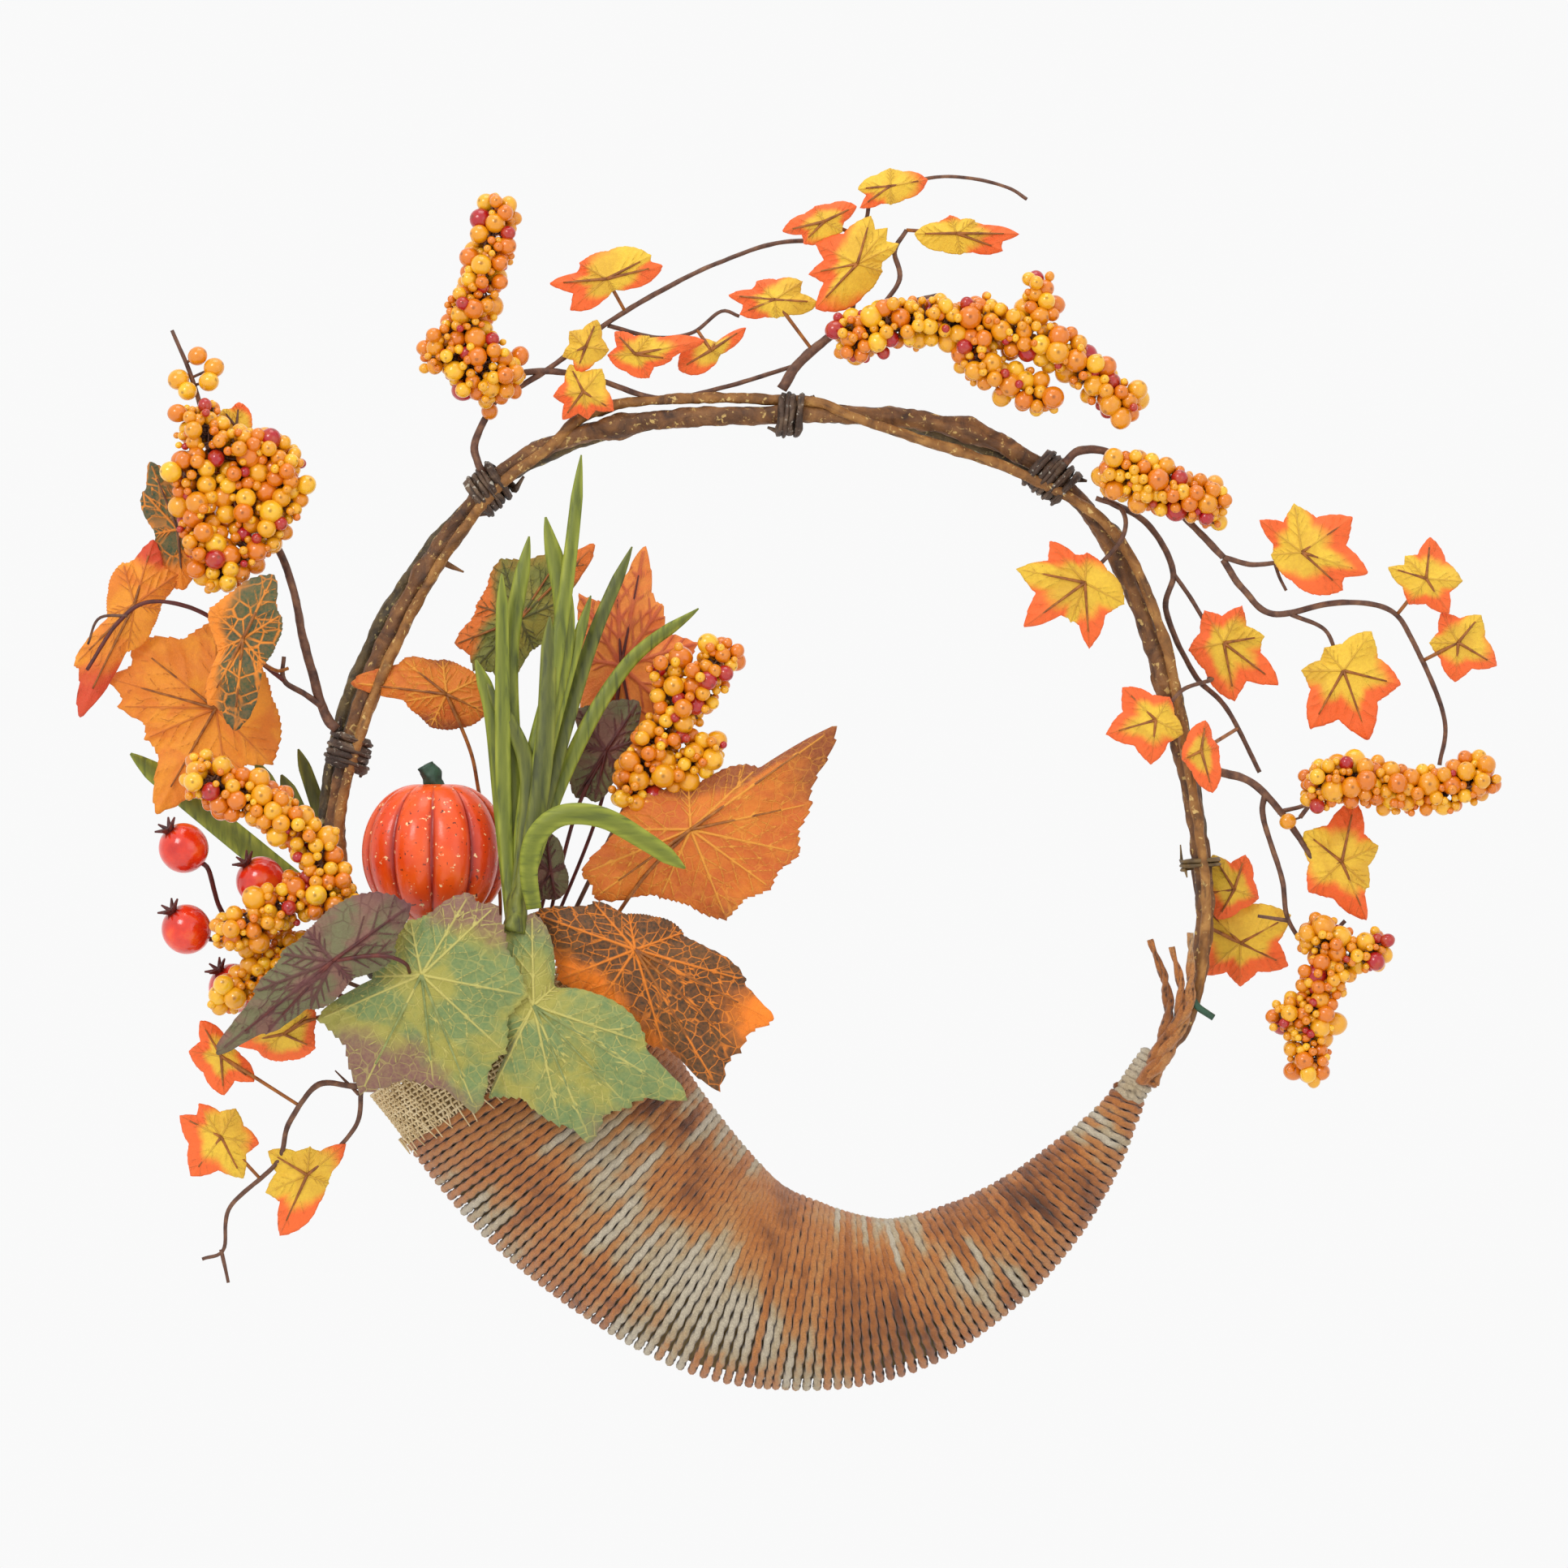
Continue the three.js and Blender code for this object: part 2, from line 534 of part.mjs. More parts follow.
const leftStem = (grow) => spray({
  grow,
  stems: [
    [[[-190, -3, -124], [-198, -6, -96], [-206, -8, -62], [-224, -10, -28], [-241, -12, 2]], 2.2, 1.2],
    [[[-241, -12, 2], [-246, -12, 19], [-254, -12, 38]], 1.2, 0.8],
    [[[-191, -4, -121], [-198, -5, -116], [-207, -8, -110], [-207, -8, -100]], 1.5, 0.9],
    [[[-207, -8, -110], [-222, -12, -98], [-240, -16, -82], [-262, -20, -77], [-276, -21, -86],
      [-289, -22, -106]], 1, 0.8]
  ],
  beads: [[[-243, -14, 27], 4], [[-236, -15, 22], 4], [[-251, -15, 17], 4.2], [[-238, -17, 16], 4.2]]
});
const leftBerries = (grow) => berries([
  { points: [[-242, -20, 3], [-240, -23, -20], [-242, -24, -45], [-230, -24, -70]], radius: 12 },
  { points: [[-210, -22, -12], [-205, -22, -30], [-214, -23, -48], [-228, -24, -64]], radius: 11 },
  { points: [[-224, -22, -18], [-222, -22, -44]], radius: 13 }
], 31, grow);
const leftLeafLarge = (grow) => leaf({
  hub: [-236, -122], depth: -8, droop: 3, grow,
  tips: [[-283, -109], [-273, -93], [-236, -83], [-225, -95], [-212, -146], [-231, -158], [-262, -167],
    [-267, -135], [-278, -121]]
});
const leftLeafFolded = (grow) => leaf({
  hub: [-270, -78], depth: -13, droop: 2, grow,
  tips: [[-262, -50], [-252, -65], [-259, -80], [-273, -98], [-294, -126], [-296, -104], [-282, -83],
    [-275, -60]]
});
const leftLeafVeined = (grow) => leaf({
  hub: [-222, -93], depth: -38, droop: 3, grow,
  tips: [[-236, -80], [-209, -66], [-206, -83], [-213, -104], [-226, -132], [-237, -121], [-233, -98]],
  petiole: [[-218, -30, -100], [-210, -14, -106], [-205, -10, -105]]
});
const leftLeafDark = (grow) => join([
  leaf({
    hub: [-252, -46], depth: -5, droop: 2, grow,
    tips: [[-264, -17], [-252, -24], [-232, -40], [-241, -59], [-250, -72], [-262, -48], [-267, -30]]
  }),
  tube([[-244, -4.5, -44], [-232, -6, -26], [-228, -7, -6]], PETIOLE, PETIOLE, grow),
  leaf({ hub: [-227, -3], depth: -8, droop: 1, grow, profile: PLAIN,
    tips: [[-233, 5], [-226, 8], [-222, -7], [-228, -16]] })
]);

const upperLeftStem = (grow) => spray({
  grow,
  stems: [
    [[[-125, -3, -17], [-126, -3, -8], [-117, -4, 10]], 1.8, 1.4],
    [[[-117, -4, 10], [-108, -3, 20], [-82, -2, 20], [-48, 1, 10], [-20, 3, 15], [12, 6, 25]], 1.5, 0.9],
    [[[-108, -3, 14], [-90, -2, 26], [-70, 0, 42], [-45, 1, 57], [-22, 2, 68], [8, 4, 77], [51, 5, 74]],
      1.3, 0.8],
    [[[-70, 1, 41], [-50, 2, 36], [-34, 2, 38], [-22, 3, 47], [-14, 3, 45]], 1, 0.8]
  ],
  leaves: [
    [-7, [-70, 60], [[-95, 58], [-82, 67], [-51, 70], [-46, 66], [-67, 55], [-86, 47]]],
    [-9, [-79, 31], [[-89, 27], [-86, 38], [-74, 43], [-69, 30], [-83, 20]]],
    [-8, [-58, 28], [[-70, 28], [-67, 38], [-52, 36], [-28, 34], [-42, 26], [-52, 18]]],
    [-10, [-80, 12], [[-93, 10], [-86, 24], [-72, 22], [-67, 4], [-78, 0], [-89, 0]]],
    [-2, [-26, 30], [[-40, 22], [-24, 34], [-11, 40], [-22, 28]]]
  ]
});
const upperLeftBerries = (grow) => join([
  berries([
    { points: [[-124, -16, 14], [-130, -18, 28], [-128, -18, 46], [-119, -17, 68], [-115, -14, 91]], radius: 12 },
    { points: [[-110, -16, 22], [-124, -19, 28], [-144, -18, 26]], radius: 12 }
  ], 41, grow),
  tube([[-120, -5.6, 4], [-121, -16, 18]], TWIG, TWIG, grow)
]);

const topStem = (grow) => spray({
  grow,
  stems: [
    [[[4, -5, 13.5], [10, -6, 23], [20, -6, 32], [36, -7, 43], [70, -8, 53]], 1.8, 1.2],
    [[[33, -6, 42], [35, -5, 54], [34, -4, 66], [40, -4, 86]], 1.1, 1],
    [[[46, -7, 48], [54, -6, 60], [52, -5, 72], [57, -5, 81]], 1.1, 1],
    [[[40, -4, 86], [44, -4, 96], [66, -5, 103], [84, -5, 103], [100, -5, 99], [108, -6, 94]], 0.9, 0.8]
  ],
  leaves: [
    [-10, [1, 51], [[-19, 53], [-7, 59], [13, 59], [20, 50], [2, 43], [-14, 45]]],
    [-10, [22, 84], [[4, 80], [18, 91], [36, 91], [30, 80], [13, 75]]],
    [-10, [50, 99], [[36, 98], [50, 107], [66, 102], [50, 91], [37, 90]]],
    [-10, [78, 79], [[60, 79], [75, 87], [86, 85], [105, 79], [98, 72], [80, 70]]],
    [-11, [36, 66], [[42, 87], [49, 82], [54, 75], [47, 63], [18, 47], [15, 62], [18, 75]]]
  ]
});
const topBerries = (grow) => join([
  berries([
    { points: [[30, -20, 33], [54, -22, 40], [82, -22, 40], [112, -22, 34], [134, -21, 18], [152, -20, 4]],
      radius: 12 },
    { points: [[84, -22, 26], [118, -22, 8]], radius: 10 },
    { points: [[110, -20, 44], [113, -20, 58]], radius: 8 }
  ], 53, grow),
  tube([[34, -20, 36], [34, -9.5, 40]], TWIG, TWIG, grow)
]);

const upperRightStem = (grow) => spray({
  grow,
  stems: [
    [[[130, -10, -13], [143, -10, -14], [160, -10, -26], [191, -10, -58]], 1.7, 1.4],
    [[[191, -10, -58], [203, -8, -61], [215, -6, -60]], 1.2, 1],
    [[[191, -9, -59], [200, -8, -72], [213, -6, -82], [240, -3, -77], [262, -2, -80], [273, -1, -95],
      [286, 3, -126], [284, 4, -146]], 1.4, 0.9],
    [[[220, -5, -82], [234, -4, -88], [239, -3, -97]], 1, 0.9]
  ],
  leaves: [
    [-11, [224, -56], [[206, -42], [221, -35], [246, -41], [253, -65], [242, -72], [211, -57]]],
    [-7, [277, -67], [[268, -57], [279, -49], [293, -68], [287, -82], [270, -78], [261, -62]]],
    [-3, [291, -94], [[284, -81], [301, -82], [308, -104], [290, -111], [279, -94]]],
    [-7, [242, -106], [[234, -96], [254, -89], [267, -112], [253, -136], [228, -131], [224, -106]]]
  ]
});
const upperRightBerries = (grow) => join([
  berries([
    { points: [[142, -22, -20], [156, -23, -26], [172, -23, -32], [188, -22, -36]], radius: 13 }
  ], 61, grow),
  tube([[160, -23, -28], [160, -12.5, -27]], TWIG, TWIG, grow)
]);

const lowerRightStem = (grow) => spray({
  grow,
  stems: [
    [[[178, -9, -143], [187, -9, -148], [204, -9, -154], [220, -9, -172], [233, -9, -193]], 1.7, 1.1],
    [[[214, -8, -166], [228, -8, -162], [240, -7, -152], [247, -7, -157], [256, -6, -149], [263, -6, -155]],
      1, 0.8],
    [[[209, -9, -158], [208, -8, -168], [216, -8, -194], [219, -7, -212], [230, -6, -224], [243, -6, -212]],
      1.2, 0.9],
    [[[219, -7, -212], [206, -5, -210]], 1, 0.9]
  ],
  leaves: [
    [-10, [241, -187], [[247, -160], [257, -180], [253, -198], [252, -212], [227, -200], [225, -174]]]
  ]
});
const lowerRightBerries = (grow) => join([
  berries([
    { points: [[228, -22, -154], [250, -22, -152], [272, -22, -158], [302, -22, -150]], radius: 12 }
  ], 71, grow),
  tube([[236, -22, -158], [228, -14, -166], [219, -11.5, -169]], TWIG, TWIG, grow)
]);
const lowerRightBerriesLow = (grow) => join([
  berries([
    { points: [[228, -21, -216], [240, -22, -228], [228, -22, -246], [226, -22, -276]], radius: 11 },
    { points: [[242, -22, -228], [257, -22, -222]], radius: 9 },
    { points: [[226, -22, -250], [214, -22, -254]], radius: 9 }
  ], 73, grow),
  tube([[228, -21, -219], [226, -8.5, -221]], TWIG, TWIG, grow)
]);

const innerRightLeaf = (grow) => spray({
  grow,
  stems: [[[[137, -12, -33], [148, -12, -38], [148, -13, -50], [134, -14, -66]], 1.1, 0.9]],
  leaves: [
    [-17, [132, -69], [[117, -51], [133, -56], [149, -78], [134, -97], [126, -86], [106, -88], [103, -63]]]
  ]
});
const rightSprig = (grow) => spray({
  grow,
  stems: [
    [[[141, 11, -32], [160, 11, -43], [171, 11, -63], [168, 11, -80], [180, 11, -107], [194, 11, -122],
      [208, 11, -149]], 1.5, 1],
    [[[171, 11, -64], [178, 10, -74], [184, 9, -84]], 1, 0.9]
  ],
  leaves: [
    [4, [192, -94], [[184, -80], [200, -78], [210, -91], [216, -112], [197, -119], [177, -97]]],
    [-19, [181, -140], [[183, -127], [189, -138], [186, -158], [173, -144]]]
  ]
});
const ringLeafRight = (grow) => spray({
  grow,
  stems: [[[[166, -13, -123], [174, -12, -114], [186, -4, -110], [186, 6, -109]], 0.9, 0.9]],
  leaves: [[-15, [162, -127], [[148, -113], [168, -117], [174, -133], [160, -146], [141, -133]]]]
});
const backLeaves = (grow) => spray({
  grow,
  stems: [[[[182, 13, -176], [180, 13, -190], [184, 13.5, -214]], 1.2, 1.2]],
  leaves: [
    [11, [197, -199], [[188, -184], [202, -184], [208, -203], [190, -212]]],
    [16, [200, -222], [[184, -206], [222, -210], [221, -232], [200, -241], [184, -236]]]
  ]
});
const bottomLeftStem = (grow) => spray({
  grow,
  stems: [
    [[[-160, -44, -268], [-172, -42, -280], [-190, -40, -280], [-203, -35, -297], [-208, -32, -313],
      [-228, -28, -332], [-231, -26, -350], [-240, -26, -354]], 1.4, 0.8],
    [[[-232, -26, -350], [-229, -26, -364]], 0.9, 0.8],
    [[[-172, -42, -280], [-174, -36, -296], [-185, -30, -310]], 1.2, 0.9]
  ],
  leaves: [
    [-36, [-231, -268], [[-240, -253], [-226, -264], [-217, -279], [-230, -285], [-245, -266]]],
    [-35, [-231, -302], [[-241, -288], [-225, -290], [-215, -305], [-222, -320], [-244, -319], [-249, -293]]],
    [-34, [-195, -318], [[-179, -305], [-186, -322], [-207, -344], [-213, -326], [-212, -308], [-194, -306]]]
  ]
});

// ---- assembly ----
// A piece keeps its shape against the pieces after it, which are cut back by GAP from it.
const pieces = [
  ['ring_vine_main', 'bark', ringMain],
  ['ring_vine_second', 'oldBark', ringSecond],
  ['ring_vine_third', 'paleBark', ringThird],
  ['horn_core', 'horn', hornCore],
  ['horn_tail', 'twine', hornTail],
  ['horn_twine_wrap', 'twine', hornTwine],
  ['burlap_lining', 'burlap', burlapLining],
  ['green_pick_stub', 'greenWire', greenStub],
  ...Object.entries(TIES).map(([name, spec]) => [name, 'tie', (grow) => tie(spec, grow)]),
  ['pumpkin_stem', 'greenWire', pumpkinStem],
  ['pumpkin_body', 'pumpkin', pumpkinBody],
  ['grass_bundle', 'grass', grassBundle],
  ['grass_curl', 'grass', grassCurl],
  ['pumpkin_pick', 'wire', pumpkinPick],
  ['grass_left', 'grass', grassLeft],
  ...Object.entries(HIPS).map(([name, place]) => [name, 'hip', (grow) => roseHip(place, grow)]),
  ['berries_mouth_right', 'berry', berriesMouthRight],
  ['berries_mouth_left', 'berry', berriesMouthLeft],
  ['berries_mouth_low', 'berry', berriesMouthLow],
  ['rose_hip_stems', 'stem', hipStems],
  ...Object.entries(mouthLeaves).map(([name, spec]) => [name, spec.finish, (grow) => leaf({ ...spec, grow })]),
  ['left_spray_stem', 'stem', leftStem],
  ['left_spray_berries', 'berry', leftBerries],
  ['left_spray_leaf_large', 'orange', leftLeafLarge],
  ['left_spray_leaf_folded', 'orange', leftLeafFolded],
  ['left_spray_leaf_veined', 'orange', leftLeafVeined],
  ['left_spray_leaf_dark', 'green', leftLeafDark],
  ['upper_left_spray_stem', 'stem', upperLeftStem],
  ['upper_left_spray_berries', 'berry', upperLeftBerries],
  ['top_spray_stem', 'stem', topStem],
  ['top_spray_berries', 'berry', topBerries],
  ['upper_right_spray_stem', 'stem', upperRightStem],
  ['upper_right_spray_berries', 'berry', upperRightBerries],
  ['lower_right_spray_stem', 'stem', lowerRightStem],
  ['lower_right_spray_berries', 'berry', lowerRightBerries],
  ['lower_right_spray_berries_low', 'berry', lowerRightBerriesLow],
  ['right_sprig', 'stem', rightSprig],
  ['ring_leaf_right', 'gold', ringLeafRight],
  ['ring_leaf_inner', 'gold', innerRightLeaf],
  ['ring_leaves_back', 'gold', backLeaves],
  ['bottom_left_stem', 'stem', bottomLeftStem],
  ['foam_block', 'foam', foamBlock]
];

function overlaps(a, b) {
  return [0, 1, 2].every((i) => a.min[i] < b.max[i] && b.min[i] < a.max[i]);
}

// The largest piece of a solid that a cut has parted.
function largest(solid) {
  return solid.decompose().reduce((best, one) => (one.volume() > best.volume() ? one : best));
}

const wreath = new THREE.Group();
const placed = [];
for (const [name, look, make] of pieces) {
  let solid = make(0);
  for (const before of placed) {
    if (overlaps(solid.boundingBox(), before.box)) solid = solid.subtract(before.make(GAP));
  }
  placed.push({ make, box: make(GAP).boundingBox() });
  const [color, roughness] = finish[look];
  const material = new THREE.MeshStandardMaterial({ color, roughness, metalness: 0 });
  const mesh = new THREE.Mesh(toGeometry(largest(solid)), material);
  mesh.name = name;
  wreath.add(mesh);
}

export default wreath;
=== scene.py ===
import math
import random

import bmesh
import bpy
import numpy as np
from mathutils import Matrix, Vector
from mathutils.bvhtree import BVHTree
from mathutils.noise import noise as field


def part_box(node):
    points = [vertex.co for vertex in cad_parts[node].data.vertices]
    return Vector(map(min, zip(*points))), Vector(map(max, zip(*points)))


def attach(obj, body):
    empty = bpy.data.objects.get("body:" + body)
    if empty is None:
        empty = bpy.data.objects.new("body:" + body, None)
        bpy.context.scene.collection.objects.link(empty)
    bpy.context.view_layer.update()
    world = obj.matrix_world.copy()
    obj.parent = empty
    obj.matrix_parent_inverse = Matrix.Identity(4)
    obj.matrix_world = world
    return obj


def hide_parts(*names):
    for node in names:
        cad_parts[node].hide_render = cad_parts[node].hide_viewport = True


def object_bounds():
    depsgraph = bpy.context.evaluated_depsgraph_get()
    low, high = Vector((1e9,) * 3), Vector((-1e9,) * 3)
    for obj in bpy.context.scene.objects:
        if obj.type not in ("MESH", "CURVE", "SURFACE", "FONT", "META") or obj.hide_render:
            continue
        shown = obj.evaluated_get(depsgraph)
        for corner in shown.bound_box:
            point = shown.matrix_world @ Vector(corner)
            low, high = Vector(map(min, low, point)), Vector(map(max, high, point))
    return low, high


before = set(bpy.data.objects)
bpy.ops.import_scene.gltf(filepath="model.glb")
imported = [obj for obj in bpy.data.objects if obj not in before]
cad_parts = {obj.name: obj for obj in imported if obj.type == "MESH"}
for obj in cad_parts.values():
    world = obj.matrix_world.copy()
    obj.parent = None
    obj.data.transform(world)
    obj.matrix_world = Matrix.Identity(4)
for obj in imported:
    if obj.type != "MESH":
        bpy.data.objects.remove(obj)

# A harvest door wreath. Lengths in the tables are millimetres; MM turns them into metres.
# X runs to the viewer's right, Z up and Y away from the viewer.
MM = 0.001
CAD_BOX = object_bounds()
SPRAYS = ("left_spray", "upper_left_spray", "top_spray", "upper_right_spray", "lower_right_spray")


def body_of(node):
    """The body that a node rides on, from its name."""
    for spray in SPRAYS:
        if node.startswith(spray):
            return spray
    return "wreath"


# ---------------------------------------------------------------- camera, light and floor
AIM = Vector((0.005, 0, -0.154))          # the point that the camera faces, in metres
CAMERA_BACK = 2.777
LENS, SENSOR = 150, 36
LIGHTS = (("key", (-1.1, -1.8, 1.2), 15, 0.7), ("fill", (1.4, -1.9, 0.3), 4, 1.4),
          ("top", (0, -0.3, 1.9), 8, 1.0))    # name, place from the aim, power, size
WORLD_STRENGTH = 0.95
FLOOR_REACH, FLOOR_DROP = 1.5, 0.5


def link(name, data):
    """A new object in the scene, round a mesh, a camera or a light."""
    thing = bpy.data.objects.new(name, data)
    bpy.context.collection.objects.link(thing)
    return thing


def set_stage():
    camera = link("camera", bpy.data.cameras.new("camera"))
    camera.data.lens = LENS
    camera.data.sensor_width = SENSOR
    camera.location = AIM + Vector((0, -CAMERA_BACK, 0))
    camera.rotation_euler = (math.pi / 2, 0, 0)
    bpy.context.scene.camera = camera
    for name, place, power, size in LIGHTS:
        lamp = link(name, bpy.data.lights.new(name, "AREA"))
        lamp.data.energy = power
        lamp.data.size = size
        lamp.location = AIM + Vector(place)
        lamp.rotation_euler = (-Vector(place)).to_track_quat("-Z", "Y").to_euler()
    world = bpy.data.worlds.new("white")
    world.use_nodes = True
    background = world.node_tree.nodes["Background"]
    background.inputs["Color"].default_value = (1, 1, 1, 1)
    background.inputs["Strength"].default_value = WORLD_STRENGTH
    bpy.context.scene.world = world
    bpy.context.scene.view_settings.view_transform = "Standard"
    floor = bpy.data.meshes.new("floor")
    drop = CAD_BOX[0][2] - FLOOR_DROP
    corners = [(x * FLOOR_REACH, y * FLOOR_REACH, drop) for x, y in ((-1, -1), (1, -1), (1, 1), (-1, 1))]
    floor.from_pydata(corners, [], [(0, 1, 2, 3)])
    floor.materials.append(surface("floor_paint", {0: (0.86, 0.85, 0.83), 1: (0.9, 0.89, 0.87)}, scale=6))
    link("floor", floor)


# ---------------------------------------------------------------- materials
DEPTH = 1.18                 # deepens every colour, to make up for the white surroundings


def rgb(red, green, blue):
    """A linear colour from 0-255 screen values, deepened."""
    linear = (((v / 255 + 0.055) / 1.055) ** 2.4 if v > 10 else v / 3294 for v in (red, green, blue))
    return tuple(v ** DEPTH for v in linear)


def shades(stops):
    """A colour run's stops, from screen values."""
    return {position: rgb(*colour) for position, colour in stops.items()}


class Paint:
    """A node material: a Principled shader and short calls that add the nodes before it."""

    def __init__(self, name, roughness=0.7, coat=0.0, sheen=0.0):
        self.material = bpy.data.materials.new(name)
        self.material.use_nodes = True
        self.tree = self.material.node_tree
        self.shader = self.tree.nodes["Principled BSDF"]
        self.shader.inputs["Roughness"].default_value = roughness
        self.shader.inputs["Coat Weight"].default_value = coat
        self.shader.inputs["Coat Roughness"].default_value = 0.12
        self.shader.inputs["Sheen Weight"].default_value = sheen
        self.place = self.tree.nodes.new("ShaderNodeTexCoord").outputs["Object"]

    def feed(self, socket, value):
        if isinstance(value, bpy.types.NodeSocket):
            self.tree.links.new(value, socket)
        elif hasattr(socket.default_value, "__len__") and len(value) == 3 and len(socket.default_value) == 4:
            socket.default_value = (*value, 1)
        else:
            socket.default_value = value

    def add(self, kind, output, inputs, **settings):
        """A new node with these settings and inputs, and what it gives out."""
        node = self.tree.nodes.new("ShaderNode" + kind)
        for name, setting in settings.items():
            setattr(node, name, setting)
        for name, value in inputs.items():
            self.feed(node.inputs[name], value)
        return node.outputs[output]

    def value(self, name):
        return self.add("Attribute", "Fac", {}, attribute_name=name)

    def stretch(self, x, y, z):
        return self.add("Mapping", "Vector", {"Scale": (x, y, z), "Vector": self.place})

    def noise(self, scale, detail=3.0, warp=0.0, place=None):
        inputs = {"Vector": place or self.place, "Scale": scale, "Detail": detail, "Distortion": warp}
        return self.add("TexNoise", "Fac", inputs)

    def net(self, scale, randomness=0.9):
        inputs = {"Vector": self.place, "Scale": scale, "Randomness": randomness}
        return self.add("TexVoronoi", "Distance", inputs, feature="DISTANCE_TO_EDGE")

    def math(self, kind, a, b=0.0):
        return self.add("Math", 0, {0: a, 1: b}, operation=kind)

    def times(self, a, b):
        return self.math("MULTIPLY", a, b)

    def plus(self, a, b):
        return self.math("ADD", a, b)

    def span(self, value, low, high, start=0.0, end=1.0):
        """The value's place between low and high, eased, as a number from start to end."""
        inputs = {"Value": value, "From Min": low, "From Max": high, "To Min": start, "To Max": end}
        return self.add("MapRange", "Result", inputs, interpolation_type="SMOOTHSTEP")

    def ramp(self, value, stops):
        node = self.tree.nodes.new("ShaderNodeValToRGB")
        self.feed(node.inputs["Fac"], value)
        marks = node.color_ramp.elements
        while len(marks) < len(stops):
            marks.new(0.5)
        for mark, (position, colour) in zip(marks, stops.items()):
            mark.position = position
            mark.color = (*colour, 1)
        return node.outputs["Color"]

    def mix(self, share, a, b):
        return self.add("Mix", 2, {"Factor": share, 6: a, 7: b}, data_type="RGBA")

    def finish(self, colour, height=None, strength=0.5, depth=0.0006, rough=None):
        self.feed(self.shader.inputs["Base Color"], colour)
        if rough is not None:
            self.feed(self.shader.inputs["Roughness"], rough)
        if height is not None:
            bump = self.tree.nodes.new("ShaderNodeBump")
            self.feed(bump.inputs["Height"], height)
            self.feed(bump.inputs["Strength"], strength)
            self.feed(bump.inputs["Distance"], depth)
            self.tree.links.new(bump.outputs["Normal"], self.shader.inputs["Normal"])
        return self.material


def surface(name, stops, scale=150, roughness=0.7, grain=900, depth=0.0005):
    """A plain mottled material: a colour run driven by noise, with a fine grain in its relief."""
    paint = Paint(name, roughness)
    colour = paint.ramp(paint.noise(scale, 4.0), stops)
    return paint.finish(colour, paint.noise(grain), 0.4, depth)


def leaf_paint(name, base, zone, tip, rib, net=0, net_share=0.6, blotch=60, rib_width=0.5, rib_share=0.8):
    """Printed leaf fabric: two mottled ground colours, a third towards the tinted lobes, ribs drawn
    along the veins, and a net of small veins where net gives its scale."""
    paint = Paint(name, 0.6, sheen=0.15)
    patches = paint.span(paint.noise(blotch, 5.0, 0.6), 0.42, 0.62)
    colour = paint.mix(patches, base, zone)
    tint_and_shade = paint.plus(paint.value("tint_and_shade"), paint.times(paint.noise(140, 4.0), 0.35))
    colour = paint.mix(paint.span(tint_and_shade, 0.42, 0.78), colour, tip)
    height = paint.noise(1500, 2.0)
    if net:
        lines = paint.span(paint.net(net), 0.015, 0.07, 1.0, 0.0)
        broken = paint.span(paint.noise(net * 0.6, 3.0), 0.35, 0.6, 0.35, 1.0)
        lines = paint.times(lines, broken)
        colour = paint.mix(paint.times(lines, net_share), colour, rib)
        height = paint.plus(height, paint.times(lines, -1.0))
    vein = paint.span(paint.value("vein"), rib_width * 0.4, rib_width * 1.5, 1.0, 0.0)
    colour = paint.mix(paint.times(vein, rib_share), colour, rib)
    height = paint.plus(height, paint.times(vein, 1.5))
    speckle = paint.span(paint.noise(700, 3.0), 0.3, 0.75, 0.16, 0.0)
    colour = paint.mix(speckle, colour, rib)
    return paint.finish(colour, height, 0.55, 0.0005)


def bark_paint(name, dark, mid, pale, fleck):
    paint = Paint(name, 0.62)
    # painted shade: this value is low in the dips of the tube's roughened surface, and the bark is darkened
    # towards its dark colour there
    along = paint.value("tint_and_shade")
    colour = paint.ramp(paint.noise(90, 6.0, 1.2), {0.3: dark, 0.5: mid, 0.72: pale})
    flecks = paint.span(paint.noise(420, 3.0, 0.5), 0.6, 0.7)
    colour = paint.mix(paint.times(flecks, 0.8), colour, fleck)
    colour = paint.mix(paint.span(along, 0.1, 0.6, 0.75, 0.0), colour, dark)
    return paint.finish(colour, paint.noise(600, 5.0, 0.8), 0.7, 0.0007)


def berry_paint():
    """Lacquered foam berries, each with its own colour, a small brown point and a few pale chips."""
    paint = Paint("berry_lacquer", 0.26, 0.55)
    red, orange = rgb(184, 22, 42), rgb(226, 134, 16)
    amber, yellow = rgb(234, 168, 22), rgb(248, 202, 50)
    stops = {0.0: red, 0.1: red, 0.12: orange, 0.3: orange, 0.55: amber, 0.95: yellow}
    colour = paint.ramp(paint.value("tone"), stops)
    shade = paint.span(paint.noise(220, 3.0), 0.4, 0.7, 0.0, 0.28)
    colour = paint.mix(shade, colour, rgb(206, 116, 14))
    colour = paint.mix(paint.span(paint.value("tint_and_shade"), 0.955, 0.995, 0.0, 0.6), colour, rgb(110, 62, 22))
    chips = paint.span(paint.noise(330, 2.0), 0.76, 0.8)
    colour = paint.mix(chips, colour, rgb(240, 232, 210))
    return paint.finish(colour, paint.noise(500, 3.0), 0.25, 0.0003)


